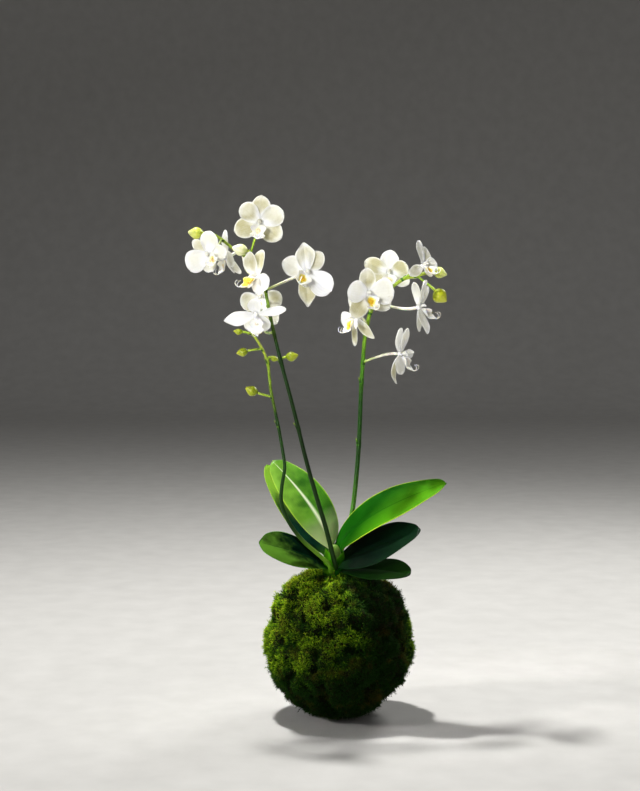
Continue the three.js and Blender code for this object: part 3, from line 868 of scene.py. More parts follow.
@dataclass
class MossBall:
    """The soil ball's skin of living moss: a felt of old stalks in cushions, and sprigs that grow from it."""

    radius: float = 58.4
    centre_z: float = 59.8
    clump_count: int = 64
    clump_height: float = 5.0
    clump_spread: float = 0.33
    shoulder_height: float = 5.5
    felt_drop: float = 3.6  # how far the felt lies under the solid's hollows
    felt_gain: float = 1.3  # how much steeper its cushions are
    lump_height: float = 3.2
    lump_size: float = 8.5
    crumb_height: float = 1.8  # of the smaller lumps on those
    crumb_size: float = 4.0
    hollow_depth: float = 6.5
    hollow_size: float = 11.0
    hollow_free: tuple[float, float] = (-4.0, -12.0)  # the middle of the place without hollows, at the stems
    sprig_room: float = 1.5  # how far the highest felt stays under the sprigs' reach
    reach: float = 64.4  # how far from the ball's middle a sprig goes, without the shoulder
    back: float = 64.4  # how far back a sprig may go
    sprig_count: int = 30000
    bands: int = 5  # pieces that share the sprigs, so that none is too large
    star_share: float = 0.62  # the part of the sprigs that are stars; the rest are feathers
    long_feather: float = 0.8  # a draw above this picks the longer kind of feather
    scatter: float = 0.012  # how far a sprig stands off its even place, as a part of the ball's radius
    stray: float = 0.5  # how unevenly the sprigs point
    root_depth: float = 0.5  # how deep a sprig's foot stands in the felt
    shortest: float = 1.2  # how short a sprig may be made to stay in reach
    lowest_foot: float = 1.2
    ground_gap: float = 0.1  # how far above the ground the lowest leaflet stays
    near_ground: float = 12.0  # only sprigs whose feet are lower than this may touch the ground
    near_back: float = 40.0  # and only those further back than this may pass the back's limit
    crown_clear: float = 7.0  # no sprig grows this near the crown's middle
    crown_from: float = 100.0  # and above this height
    # painted shade: the moss's tone where no painted light is added
    low_tone: float = 0.07  # how bright the moss is where little light falls
    # painted light and shade: the sides where the moss is painted brighter or darker: where they are, the
    # cosines where that starts and is full, and how much
    sides: tuple[tuple[Point, float, float, float], ...] = (
        # painted light where the light falls most
        ((-0.55, -0.25, 0.8), -0.2, 0.9, 1.25),  # the side that gets the most light
        # painted rim light
        ((0.97, -0.05, 0.1), 0.8, 1.0, 0.9),  # the right-hand rim
        # painted shadow of the right-hand leaves
        ((0.55, -0.45, 0.7), 0.72, 0.97, -0.75),  # always under the right-hand leaves
    )

    def __post_init__(self) -> None:
        """Lay out the cushions as the solid does."""
        self.clumps = []
        for i in range(self.clump_count):
            z = 1 - 2 * (i + 0.5) / self.clump_count
            turn = i * GOLDEN_ANGLE + 0.5 * fraction(i)
            r = math.sqrt(1 - z * z)
            towards = Vector((r * math.cos(turn), r * math.sin(turn), z))
            spread = self.clump_spread * (0.75 + 0.5 * fraction(i + 400))
            height = self.clump_height * (0.45 + 0.55 * fraction(i + 200))
            self.clumps.append((towards, math.cos(spread), spread, height))

    def relief(self, direction: Vector) -> float:
        """Give the height of the cushions.

        Args:
            direction: A unit vector from the ball's middle.

        Returns:
            The height of the tallest cushion there.
        """
        tallest = 0.0
        for towards, nearest, spread, height in self.clumps:
            cosine = direction.dot(towards)
            if cosine > nearest:
                share = math.acos(min(1.0, cosine)) / spread
                tallest = max(tallest, height * math.sqrt(1 - share * share))
        return tallest

    def shoulder(self, direction: Vector) -> float:
        """Give how far the moss is banked up outside the round ball, which makes it square-shouldered."""
        bank = smooth(0.3, 0.72, direction.z) * (1 - 0.5 * smooth(0.85, 1.0, direction.z))
        return self.shoulder_height * bank

    def felt_radius(self, direction: Vector) -> float:
        """Give the felt's distance from the ball's middle, with its lumps and hollows.

        Args:
            direction: A unit vector from the ball's middle.

        Returns:
            The distance.
        """
        place = direction * self.radius
        lumps = self.lump_height * noise.noise(place / self.lump_size)
        crumbs = self.crumb_height * noise.noise(place / self.crumb_size + Vector((7, 3, 1)))
        dug = noise.noise(place / self.hollow_size + Vector((2.3, 9.1, 4.7)))
        around = math.dist((place.x, place.y), self.hollow_free) if place.z > 0 else self.radius
        hollow = self.hollow_depth * smooth(0.05, 0.4, dug) * smooth(10.0, 34.0, around)
        base = self.radius - self.felt_drop + self.shoulder(direction)
        highest = self.reach - self.sprig_room + self.shoulder(direction)
        return min(highest, base + self.felt_gain * self.relief(direction) + lumps + crumbs - hollow)

    def brightness(self, direction: Vector) -> float:
        """Give how bright and green the moss is painted: painted light on its lit side and right-hand rim,
        painted shadow under the right-hand leaves.

        Args:
            direction: A unit vector from the ball's middle.

        Returns:
            The brightness, where 1 is full.
        """
        level = self.low_tone
        for side, low, high, gain in self.sides:
            level += gain * smooth(low, high, direction.dot(Vector(side)))
        return max(0.04, level)

    def felt(self) -> None:
        """Build the felt under the sprigs."""
        shape = bmesh.new()
        bmesh.ops.create_icosphere(shape, subdivisions=6, radius=1.0)
        for vertex in shape.verts:
            direction = vertex.co.normalized()
            point = direction * self.felt_radius(direction)
            vertex.co = (point.x, point.y, max(0.0, point.z + self.centre_z))
        finish = MatFinish("old_moss_felt", "#080a03", "#2a2a0c", grain_mm=2.2, depth_mm=1.2)
        finish_piece(shape, "moss_felt", finish.material(), ["moss_cover"], subdivided=False)

    def leaflet(self, shape: bmesh.types.BMesh, radius: float) -> list[bmesh.types.BMVert]:
        """Add one closed leaflet, a thin cone 1 mm tall that stands on its foot.

        Args:
            shape: The sprig's mesh.
            radius: The cone's radius at its foot.

        Returns:
            Its vertices.
        """
        cone = bmesh.ops.create_cone(
            shape, cap_ends=True, cap_tris=False, segments=3, radius1=radius, radius2=0.0, depth=1.0
        )["verts"]
        bmesh.ops.translate(shape, vec=(0, 0, 0.5), verts=cone)
        return cone

    def star(self, leaflets: int, lean: float, seed: int) -> bmesh.types.BMesh:
        """Build a starry sprig, 1 mm tall: thin closed leaflets that spread from one foot.

        Args:
            leaflets: How many.
            lean: How far they spread, in radians.
            seed: What its random numbers start from.

        Returns:
            The sprig.
        """
        shape = bmesh.new()
        uv = shape.loops.layers.uv.verify()
        draw = random.Random(seed)
        for i in range(leaflets):
            cone = self.leaflet(shape, 0.17)
            bmesh.ops.scale(shape, vec=(1.0, 0.45, draw.uniform(0.75, 1.1)), verts=cone)
            angle = lean * (0.25 if i == 0 else draw.uniform(0.75, 1.15))
            turn = math.tau * (i + draw.uniform(-0.25, 0.25)) / max(1, leaflets - 1)
            tilt = Matrix.Rotation(turn, 3, "Z") @ Matrix.Rotation(angle, 3, "X")
            bmesh.ops.rotate(shape, cent=(0, 0, 0), matrix=tilt, verts=cone)
        self.mark_height(shape, uv)
        return shape

    def feather(self, pairs: int, bend: float, seed: int) -> bmesh.types.BMesh:
        """Build a feathery sprig, 1 mm tall: a bent stalk with pairs of closed leaflets.

        Args:
            pairs: How many pairs.
            bend: How far the tip bends over.
            seed: What its random numbers start from.

        Returns:
            The sprig.
        """
        shape = bmesh.new()
        uv = shape.loops.layers.uv.verify()
        draw = random.Random(seed)
        for i in range(pairs):
            share = (i + 0.6) / pairs
            size = 0.55 * (1 - 0.55 * share)
            for side in (-1, 1):
                cone = self.leaflet(shape, 0.16)
                bmesh.ops.scale(shape, vec=(size, 0.5 * size, size), verts=cone)
                outward = Matrix.Rotation(side * draw.uniform(0.75, 1.05), 3, "Y")
                tilt = outward @ Matrix.Rotation(draw.uniform(-0.4, 0.4), 3, "X")
                bmesh.ops.rotate(shape, cent=(0, 0, 0), matrix=tilt, verts=cone)
                bmesh.ops.translate(shape, vec=(0, bend * share * share, share * 0.8), verts=cone)
        for vertex in self.leaflet(shape, 0.09):
            vertex.co.y += bend * vertex.co.z**2
        self.mark_height(shape, uv)
        return shape

    def mark_height(self, shape: bmesh.types.BMesh, uv: bmesh.types.BMLayerItem) -> None:
        """Write how far each corner is from the sprig's foot into the UV's y.

        Args:
            shape: The sprig's mesh.
            uv: Its UV map.
        """
        for face in shape.faces:
            for loop in face.loops:
                loop[uv].uv = (0.5, min(1.0, loop.vert.co.length))

    def sprig_kinds(self) -> list[Sprig]:
        """Build the kinds of sprig: three stars, then a short and a long feather.

        Returns:
            Each kind's mesh, with its points and UVs before it is placed.
        """
        kinds = []
        for maker, count, spread in (
            (self.star, 5, 0.95),
            (self.star, 6, 1.15),
            (self.star, 5, 0.75),
            (self.feather, 3, 0.35),
            (self.feather, 4, 0.55),
        ):
            shape = maker(count, spread, len(kinds) + 1)
            bmesh.ops.recalc_face_normals(shape, faces=shape.faces)
            mesh = bpy.data.meshes.new("sprig")
            shape.to_mesh(mesh)
            shape.free()
            points = [0.0] * (3 * len(mesh.vertices))
            marks = [0.0] * (2 * len(mesh.loops))
            mesh.vertices.foreach_get("co", points)
            mesh.uv_layers[0].uv.foreach_get("vector", marks)
            kinds.append((mesh, points, marks))
        return kinds

    def sprig_length(self, direction: Vector, size: float, feathery: bool) -> float:
        """Give a sprig's length, with taller and lower tufts over the ball.

        Args:
            direction: Where it grows, a unit vector from the ball's middle.
            size: Its random number from 0 to 1; the largest few are much taller.
            feathery: Whether it is a feather.

        Returns:
            The length.
        """
        length = 2.3 + 1.9 * size + (1.6 if size > 0.93 else 0.0)
        length *= 1 + 0.5 * noise.noise(direction * self.radius / 6.0)
        return length * 1.25 if feathery else length

    def sprig_tone(self, direction: Vector, root: float, chance: float) -> float:
        """Give a sprig's tone, which is what its finish makes bright green of: painted light and shade by
        side, painted shade in the hollows, and random patches.

        Args:
            direction: Where it grows, a unit vector from the ball's middle.
            root: Its root's distance from the ball's middle.
            chance: Its random number from 0 to 1.

        Returns:
            The tone, from 0 to 1.
        """
        patch = noise.noise(direction * self.radius / 13.0 + Vector((1.7, 0.4, 8.2)))
        height = root - self.radius + self.felt_drop - self.shoulder(direction)
        # painted shade: a sprig rooted lower, down in a hollow, gets a darker tone
        tone = self.brightness(direction) * (0.22 + 0.1 * height + 0.55 * (chance - 0.4) + 0.8 * patch)
        return min(1.0, max(0.0, tone))

    def grow_band(
        self, shape: bmesh.types.BMesh, numbers: range, kinds: list[Sprig], draw: random.Random
    ) -> None:
        """Grow some of the sprigs.

        Args:
            shape: The mesh to add them to.
            numbers: Which of them, counted from the top of the ball down.
            kinds: The kinds of sprig.
            draw: The ball's random numbers.
        """
        middle = Vector((0, 0, self.centre_z))
        for i in numbers:
            z = 1 - 2 * (i + 0.5) / self.sprig_count
            r = math.sqrt(1 - z * z)
            turn = i * GOLDEN_ANGLE
            direction = Vector((r * math.cos(turn), r * math.sin(turn), z))
            off = self.scatter * Vector([draw.uniform(-1, 1) for _ in range(3)])
            direction = (direction + off).normalized()
            stray = Vector([draw.gauss(0, self.stray) for _ in range(3)])
            pick, size, chance, spin = draw.random(), draw.random(), draw.random(), draw.random()
            root = self.felt_radius(direction) - self.root_depth
            foot = direction * root + middle
            at_crown = foot.z > self.crown_from and math.dist(foot.xy, CROWN_MIDDLE) < self.crown_clear
            if foot.z < self.lowest_foot or at_crown:
                continue
            upright = (direction + stray + 0.3 * Z_AXIS * (1 if direction.z > -0.3 else 0)).normalized()
            feathery = pick > self.star_share
            length = self.sprig_length(direction, size, feathery)
            tip = foot + upright * length
            over = (tip - middle).length - self.reach - self.shoulder(direction)
            if over > 0:
                length = max(self.shortest, length - over)
            kind = 3 + (pick > self.long_feather) if feathery else int(pick / self.star_share * 3)
            mesh, points, marks = kinds[kind]
            marks[0::2] = [self.sprig_tone(direction, root, chance)] * (len(marks) // 2)
            mesh.vertices.foreach_set("co", points)
            mesh.uv_layers[0].uv.foreach_set("vector", marks)
            pose = upright.to_track_quat("Z", "Y") @ Quaternion(Z_AXIS, math.tau * spin)
            mesh.transform(Matrix.LocRotScale(foot, pose, Vector((length, length, length))))
            # only sprigs near the ground or the back need the slower look at every point
            low = foot.z < self.near_ground and min(v.co.z for v in mesh.vertices) < self.ground_gap
            far = foot.y > self.near_back and max(v.co.y for v in mesh.vertices) > self.back
            if not (low or far):
                shape.from_mesh(mesh)

    def sprigs(self) -> None:
        """Grow the sprigs, in bands from the top of the ball down."""
        draw = random.Random(20)
        kinds = self.sprig_kinds()
        finish = MossFinish().material()
        for band in range(self.bands):
            shape = bmesh.new()
            shape.loops.layers.uv.verify()
            first, last = (k * self.sprig_count // self.bands for k in (band, band + 1))
            self.grow_band(shape, range(first, last), kinds, draw)
            finish_piece(shape, f"moss_sprigs_{band + 1}", finish, subdivided=False)
        for mesh, _, _ in kinds:
            bpy.data.meshes.remove(mesh)

    def build(self) -> None:
        """Build the felt and the sprigs."""
        self.felt()
        self.sprigs()


@dataclass
class SoilCore:
    """The ball of potting soil under the moss. Its solid has the right shape and gets its finish here."""

    node: str = "soil_core"

    def dress(self, frame: dict) -> None:
        """Give the solid its soil.
        """
        finish = MatFinish("potting_soil", "#1a120b", "#5a4430", grain_mm=2.5, depth_mm=1.0)
        solid = frame["nodes"][self.node]
        solid.material_slots[0].material = finish.material()
        LOG.info("%s: its own solid, dressed as soil", self.node)


# ---- Crown and leaves ----


class Green(Enum):
    """The leaves' greens, each with its own painted light and shade; the older leaves are a darker green too.
    """

    # painted light: a lighter green glow, with a near-white painted glare along the midrib and over the base
    SUNLIT = LeafFinish(
        "young_waxy_leaf_painted_glare", deep="#24580b", green="#448416", rim="#a4c83a", midrib="#f2f8d6", under="#5a8a20",
        base="#d8e8a0", painted_glow="#7fae34", glow_along=0.5, glow_across=-0.2, glow_from=0.6, pale_base=0.42,
        mottle=0.7, gloss=0.25, shine=0.1, rib=0.2,
    )
    # painted shade over the face under the leaf above, and painted light on the tip and rim that reach out of
    # it
    BEHIND = LeafFinish(
        "shaded_waxy_leaf", deep="#12382c", green="#1c4a38", rim="#a4c83a", midrib="#1c5030", under="#3c6a18",
        base="#4f8a1c", painted_glow="#86b436", glow_along=1.6, glow_across=0.35, glow_from=1.0, mottle=0.4,
        gloss=0.02,
    )
    # painted light: a lighter green towards the tip and near edge, where light shines through
    FRESH_LIT = LeafFinish(
        "fresh_waxy_leaf_painted_glow", deep="#0d4605", green="#135206", rim="#b0cc38", midrib="#0f4c07", under="#2c6a12",
        base="#155a06", painted_glow="#509410", glow_along=0.8, glow_across=0.3, glow_from=0.7, mottle=0.08,
        gloss=0.03, shine=0.01,
    )
    # painted shade over most of the leaf, with cloudy patches of painted light at the tip and near edge
    SUN_DAPPLED = LeafFinish(
        "waxy_leaf_painted_dapple", deep="#020c06", green="#05180c", rim="#4a7a20", midrib="#08240f",
        under="#1a4414", base="#24580f", painted_glow="#4a7220", glow_along=1.3, glow_across=-0.45, glow_from=1.05,
        mottle=1.3, gloss=0.0, shine=0.0,
    )
    # an old leaf's darker green, deepened to near black by painted shade
    DARK = LeafFinish(
        "old_waxy_leaf_painted_shade", deep="#020b06", green="#041109", rim="#0a200e", midrib="#061a0c", under="#0f2410",
        base="#0f2a0e", painted_glow="#0c2814", glow_along=0.8, glow_across=0.0, glow_from=0.7,
    )
    # an old leaf's dull green, darkened by painted shade
    DULL = LeafFinish(
        "oldest_waxy_leaf_painted_shade", deep="#081c08", green="#0f2c0c", rim="#1b3e12", midrib="#0f2a0c", under="#173010",
        base="#122c0d", painted_glow="#1f4412", glow_along=0.8, glow_across=0.0, glow_from=0.6,
    )


@dataclass
class Leaf:
    """One thick strap-shaped leaf, folded along its midrib."""

    name: str
    path: tuple[Point, Point, Point, Point]
    width: float
    tilt: float  # degrees that its blade is turned round its own length
    channel: float  # how steeply its two halves rise from the midrib
    green: Green
    outline: Outline = Outline(1.3, 0.58, 0.24)
    thickness: float = 1.9
    swell: float = 0.55  # height of the slow waves in its margin
    groove: float = 0.55  # depth of the groove over the midrib
    groove_width: float = 1.3
    keel: float = 1.3  # how far the midrib stands out below

    def surface(self, u: float, v: float) -> Vector:
        """Give a point of the upper face.

        Args:
            u: The share of the length, from base to tip.
            v: From -1 at one edge to 1 at the other.

        Returns:
            The point.
        """
        step = 1e-3
        low, high = max(0.0, u - step), min(1.0, u + step)
        along = (bezier_point(self.path, high) - bezier_point(self.path, low)).normalized()
        side = along.cross(Z_AXIS).normalized()
        side.rotate(Quaternion(along, -math.radians(self.tilt) * math.copysign(1, side.y)))
        over = side.cross(along)
        half = self.width / 2 * self.outline.at(u)
        spread = abs(v)
        rise = self.channel * half * spread * (1.25 - 0.5 * spread)
        groove = -self.groove * math.exp(-((v * half / self.groove_width) ** 2)) * smooth(1.0, 0.75, u)
        phase = 3.1 * len(self.name) + self.width
        slow = self.swell * math.sin(5.2 * u + 2.1 * v + phase) * spread
        quick = 0.35 * math.sin(11.0 * u + phase) * v * v
        point = bezier_point(self.path, u) + side * (half * v)
        return point + over * (rise + groove + (slow + quick) * smooth(0.0, 0.2, u))

    def depth(self, u: float, v: float) -> float:
        """Give the thickness: most at the midrib's keel, least at the rim."""
        keel = self.keel * math.exp(-((v / 0.14) ** 2)) * (1 - 0.75 * u)
        return self.thickness * (0.95 - 0.4 * v * v) + keel

    def build(self, materials: dict[Green, bpy.types.Material]) -> None:
        """Build the leaf.

        Args:
            materials: The leaves' greens.
        """
        shape = bmesh.new()
        add_blade(shape, self.surface, self.depth, along=40, around=44)
        finish_piece(shape, self.name, materials[self.green], [self.name])


LEAVES = (
    Leaf(
        "leaf_left_upper", ((-6, -8, 142.5), (-11, -10, 163), (-30, 3, 188), (-56, 18, 211.5)),
        36, 42, 0.04, Green.SUNLIT, Outline(1.1, 0.55, 0.3),
    ),
    Leaf(
        "leaf_left_middle", ((-6, -6, 136), (-17, 9, 151), (-39, 17, 173), (-61, 26, 207)),
        32, 38, 0.16, Green.BEHIND, Outline(1.2, 0.58, 0.4),
    ),
    Leaf(
        "leaf_left_lower", ((-7, -8.5, 126), (-22.5, -17.5, 138.5), (-42, -26, 144), (-65, -28, 150)),
        40, 34, 0.1, Green.SUN_DAPPLED, Outline(1.5, 0.5, 0.24),
    ),
    Leaf(
        "leaf_right_upper", ((-1.5, -9, 141), (9, -10, 165), (49.5, -16, 184.5), (86.5, -28, 198.5)),
        41, 36, 0.1, Green.FRESH_LIT, Outline(1.3, 0.5, 0.34, 0.2),
    ),
    Leaf(
        "leaf_right_middle", ((0, -10, 131.5), (17, -19, 140.5), (41, -31, 151.5), (64.5, -42, 162)),
        47, 36, 0.1, Green.DARK, Outline(1.0, 0.55, 0.46, 0.15),
    ),
    Leaf(
        "leaf_right_lower", ((-2, -10, 124), (18.5, -21, 129), (39.5, -34, 129), (56, -47, 127)),
        32, 22, 0.08, Green.DULL,
    ),
)


@dataclass
class Crown:
    """The short stem in the ball's top, wrapped in the sheaths that the leaves' bases form."""

    middle: tuple[float, float] = CROWN_MIDDLE
    radius: float = 8.5
    flatness: float = 0.74
    # heights and the share of the full radius there
    profile: tuple[tuple[float, float], ...] = (
        (84, 0.45),
        (92, 0.75),
        (118, 1.0),
        (130, 0.9),
        (140, 0.62),
        (145, 0.3),
    )
    # the side that each sheath opens to, in degrees from +X, and the heights of its foot and its collar
    sheaths: tuple[tuple[float, float, float], ...] = (
        (0, 106, 126),
        (180, 109, 128),
        (-8, 113, 133),
        (172, 116, 135),
        (4, 120, 140),
        (184, 124, 142),
    )
    span: float = 100.0  # degrees that a sheath wraps to either side
    dip: float = 9.0  # how much lower a collar is at its two ends

    def share(self, z: float) -> float:
        """Give the stem's share of its full radius at a height.

        Args:
            z: The height.

        Returns:
            The share.
        """
        for (low, first), (high, second) in zip(self.profile, self.profile[1:]):
            if z <= high:
                return first + (second - first) * smooth(low, high, z)
        return self.profile[-1][1]

    def rim(self, angle: float, z: float, extra: float) -> Vector:
        """Give a point on or outside the stem's skin.

        Args:
            angle: Where round the stem, from +X.
            z: The height.
            extra: How far outside the skin.

        Returns:
            The point.
        """
        reach = self.radius * self.share(z)
        x = self.middle[0] + (reach + extra) * math.cos(angle)
        return Vector((x, self.middle[1] + (reach * self.flatness + extra) * math.sin(angle), z))

    def build_stem(self, material: bpy.types.Material) -> None:
        """Build the stem itself.

        Args:
            material: Its finish.
        """
        shape = bmesh.new()
        foot, top = self.profile[0][0], self.profile[-1][0]
        rail = Rail([Vector((*self.middle, z)) for z in (foot, top)])
        add_tube(shape, rail, lambda s: self.radius * self.share(foot + (top - foot) * s), rings=16, sides=24)
        for vertex in shape.verts:
            vertex.co.y = self.middle[1] + (vertex.co.y - self.middle[1]) * self.flatness
        finish_piece(shape, "crown_stem", material, ["crown"])

    def build_sheaths(self, material: bpy.types.Material) -> None:
        """Build the sheaths, each a thin collar that wraps the stem and is highest where its leaf springs.

        Args:
            material: Their finish.
        """
        shape = bmesh.new()
        for order, (side, foot, collar) in enumerate(self.sheaths):

            def surface(u: float, v: float) -> Vector:
                """Give a point of the collar's outer face.

                Args:
                    u: From 0 to 1 up it.
                    v: From -1 to 1 round it.

                Returns:
                    The point.
                """
                z = foot + (collar - self.dip * v * v - foot) * u
                flare = 0.5 + 0.25 * order + 1.3 * u * u * (1 - 0.6 * v * v)
                return self.rim(math.radians(side) + math.radians(self.span) * v, z, flare)

            add_blade(shape, surface, lambda u, v: 0.9 - 0.35 * u, along=12, around=44)
        finish_piece(shape, "leaf_sheaths", material)

    def build(self, materials: dict[Green, bpy.types.Material]) -> None:
        """Build the stem and its sheaths.

        Args:
            materials: The leaves' greens.
        """
        stem = StemFinish("crown_stem_skin", ((0.0, "#5d6b2c"), (0.5, "#4f7d2c"), (1.0, "#7fa544")))
        self.build_stem(stem.material())
        self.build_sheaths(materials[Green.FRESH_LIT])


# ---- Flowers and buds ----


@dataclass(frozen=True)
class Flower:
    """Where an open flower is, how it is turned and how its petals are set."""

    number: int
    fork: float  # share of the spike's length where the stalk leaves it
    at: Point
    turn: Point  # azimuth, elevation and roll in degrees
    size: float
    tepals: tuple[TepalRow, ...]  # dorsal sepal, right and left petal, right and left lateral sepal
    # painted shade: how much cream-grey shade each tepal is painted with
    tones: tuple[float, ...]  # how cream and shaded each of them is, from 0 to 1
    gold: float = 0.5  # how golden its lip's throat is and how far that spreads; at 0 the lip is white
    by: Point | None = None  # a point that the stalk goes past
    green_stalk: bool = False

    @property
    def face(self) -> Vector:
        """Give the way that the flower looks."""
        azimuth, elevation, _ = (math.radians(a) for a in self.turn)
        flat = math.cos(elevation)
        return Vector((math.sin(azimuth) * flat, -math.cos(azimuth) * flat, math.sin(elevation)))

    @property
    def frame(self) -> Matrix:
        """Give its frame: x to the viewer's right, y to the dorsal sepal and z out of its face."""
        azimuth, elevation, roll = (math.radians(a) for a in self.turn)
        rise = math.sin(elevation)
        up = Vector((-math.sin(azimuth) * rise, math.cos(azimuth) * rise, math.cos(elevation)))
        up.rotate(Quaternion(self.face, -roll))
        turned = Matrix((up.cross(self.face), up, self.face)).transposed()
        return Matrix.LocRotScale(Vector(self.at), turned.to_quaternion(), Vector((self.size,) * 3))

    @property
    def back(self) -> Vector:
        """Give the point behind the flower where its stalk ends."""
        return Vector(self.at) - self.face * (2.6 * self.size + 0.1)


class BudSkin(Enum):
    """The buds' skins, from the youngest buds to the one that is about to open."""

    OLIVE = BudFinish("olive_bud_skin", "#6f8412", "#97a41a", "#b8bd38")
    GREEN = BudFinish("green_bud_skin", "#8c9d16", "#b9bf1c", "#cfd04c")
    LIME = BudFinish("lime_bud_skin", "#9aaa22", "#cfd65c", "#dfe498")
    CREAM = BudFinish("cream_bud_skin", "#b0bf3c", "#e2e2ac", "#f2f1dc")


@dataclass(frozen=True)
class Bud:
    """A closed bud. at is its middle and points is where its tip looks."""

    number: int
    fork: float  # share of the spike's length where the stalk leaves it
    at: Point
    points: Point
    length: float
    width: float
    skin: BudSkin = BudSkin.OLIVE

    @property
    def face(self) -> Vector:
        """Give the way that the bud points."""
        return Vector(self.points).normalized()

    @property
    def back(self) -> Vector:
        """Give the bud's foot, where its stalk ends."""
        return Vector(self.at) - self.face * (self.length / 2 - 0.2)

    def reach(self, share: float) -> float:
        """Give the half width, as a part of the full one, at a share from foot to tip."""
        return math.sin(math.pi * share**0.93) ** 0.62 * (1 - 0.32 * smooth(0.45, 1.0, share))

    def build(self, material: bpy.types.Material) -> None:
        """Build the bud: an egg of three sepals that meet in soft seams.

        Args:
            material: Its finish.
        """
        shape = bmesh.new()
        shape.loops.layers.uv.verify()
        grid = bmesh.ops.create_grid(shape, x_segments=30, y_segments=18, size=0.5, calc_uvs=True)["verts"]
        for vertex in grid:
            turn = math.tau * (vertex.co.x + 0.5)
            share = 0.5 - 0.5 * math.cos(math.pi * (vertex.co.y + 0.5))
            seam = abs(math.cos(1.5 * turn + 2.2 * share)) ** 0.35
            lobed = 0.9 + 0.1 * seam + 0.02 * math.cos(turn + self.number)
            radius = self.width / 2 * self.reach(share) * lobed
            bend = 0.05 * self.length * math.sin(math.pi * share)
            height = (share - 0.5) * self.length
            vertex.co = (radius * math.cos(turn), radius * math.sin(turn) - bend, height)
        bmesh.ops.remove_doubles(shape, verts=grid, dist=1e-4)
        pose = self.face.to_track_quat("Z", "Y")
        bmesh.ops.transform(shape, matrix=Matrix.LocRotScale(Vector(self.at), pose, None), verts=shape.verts)
        finish_piece(shape, f"bud_{self.number}", material, [f"bud_{self.number}"])


@dataclass(frozen=True)
class Tepal:
    """A kind of petal or sepal: its outline, and how it is shaped across."""

    outline: Outline
    base: float  # how far forward it starts
    ruffle: float  # height of the waves in its margin
    fold: float  # height of the soft folds that fan out from its claw
    start: float = 1.2  # how far from the flower's middle it starts
    cup: float = 0.12
    crease: float = 0.35  # depth of the crease along its middle

    def add(self, shape: bmesh.types.BMesh, row: TepalRow, tone: float, draw: random.Random) -> None:
        """Add the tepal to a flower.

        Args:
            shape: The flower's mesh, in its own frame.
            row: How it is set and how large it is.
            tone: How much painted cream-grey shade it has, from 0 to 1.
            draw: The flower's own random numbers.
        """
        angle, reach, width, lean, curl, point = (*row, 0.0, 0.0)[:6]
        phase, twist = draw.uniform(0, math.tau), draw.uniform(-0.06, 0.06)
        waves, folds = draw.uniform(1.6, 2.8), draw.uniform(2.2, 3.4)
        turned = Matrix.Rotation(-math.radians(angle), 3, "Z")
        outline = replace(self.outline, point=point)

        def surface(u: float, v: float) -> Vector:
            """Give a point of the upper face.

            Args:
                u: From 0 to 1 along it.
                v: From -1 to 1 across it.

            Returns:
                The point.
            """
            r = self.start + u * (reach - self.start)
            half = width / 2 * outline.at(u)
            rise = lean * r + curl * r * r / reach + self.cup * half * v * v
            margin = self.ruffle * math.sin(phase + waves * math.pi * (u + 0.5 * v)) * v * v * u
            pleat = self.fold * math.sin(phase + folds * math.pi * v) * math.sin(math.pi * u**0.7)
            crease = -self.crease * math.exp(-((v / 0.1) ** 2)) * math.sin(math.pi * u)
            height = self.base + rise + margin + pleat + crease + twist * half * v * u
            return turned @ Vector((half * v, r, height))

        def shade(u: float, v: float) -> float:
            """Give the painted shade there, fading to white painted light at the claw and along the margin.
            """
            inner = smooth(0.08, 0.5, u + 0.12 * math.sin(phase + 3 * v))
            return tone * inner * (1 - 0.55 * smooth(0.72, 1.0, max(abs(v), u)))

        add_blade(shape, surface, lambda u, v: 0.8 - 0.35 * v * v - 0.15 * u, along=16, around=36, tone=shade)


@dataclass
class Bloom:
    """One open flower: three sepals behind two petals, and the column in its middle."""

    flower: Flower
    sepal: Tepal = Tepal(Outline(1.1, 0.58, 0.34), base=0.1, ruffle=0.55, fold=0.1)
    petal: Tepal = Tepal(Outline(1.3, 0.5, 0.3), base=1.3, ruffle=0.9, fold=0.15)
    knob_radius: float = 2.5
    cap_radius: float = 1.15

    @property
    def name(self) -> str:
        """Give the flower's number as two digits."""
        return f"{self.flower.number:02d}"

    def open_flower(self, material: bpy.types.Material) -> None:
        """Build the sepals, the petals, the knob that they grow from and the column.

        Args:
            material: Their finish.
        """
        shape = bmesh.new()
        shape.loops.layers.uv.verify()
        draw = random.Random(100 + self.flower.number)
        sepal, petal = self.sepal, self.petal
        kinds = (sepal, petal, petal, sepal, sepal)
        for kind, row, tone in zip(kinds, self.flower.tepals, self.flower.tones):
            kind.add(shape, row, tone, draw)
        bmesh.ops.create_uvsphere(shape, u_segments=16, v_segments=10, radius=self.knob_radius, calc_uvs=True)
        before_column = len(shape.verts)
        column = Rail.spline([(0, 0.2, 0), (0, 0.9, 2.0), (0, 1.1, 4.2), (0, 0.4, 6.9)])
        add_tube(
            shape,
            column,
            lambda s: (1.55 + 0.5 * math.sin(math.pi * s)) * math.sqrt(max(0.05, 1 - s**7)),
            rings=12,
            sides=16,
        )
        cap = bmesh.ops.create_uvsphere(
            shape, u_segments=12, v_segments=8, radius=self.cap_radius, calc_uvs=True
        )["verts"]
        bmesh.ops.scale(shape, vec=(1.0, 0.8, 0.9), verts=cap)
        bmesh.ops.translate(shape, vec=(0, -0.4, 6.5), verts=cap)
        # painted shade: the column is shaded like its tepals, on average
        tones = shape.verts.layers.float["tone"]
        for vertex in list(shape.verts)[before_column:]:
            vertex[tones] = 0.7 * sum(self.flower.tones) / len(self.flower.tones)
        bmesh.ops.transform(shape, matrix=self.flower.frame, verts=shape.verts)
        finish_piece(shape, f"bloom_{self.name}", material, [f"bloom_{self.name}"])

    def build(self, petal: bpy.types.Material, lip: bpy.types.Material) -> None:
        """Build the flower and its lip.

        Args:
            petal: The finish of its petals and sepals.
            lip: The finish of its lip.
        """
        self.open_flower(petal)
        Lip(self.flower).build(lip)


CALLUS_UV = (0.25, 0.36)  # the place on the lip's UV map where the gold is deepest


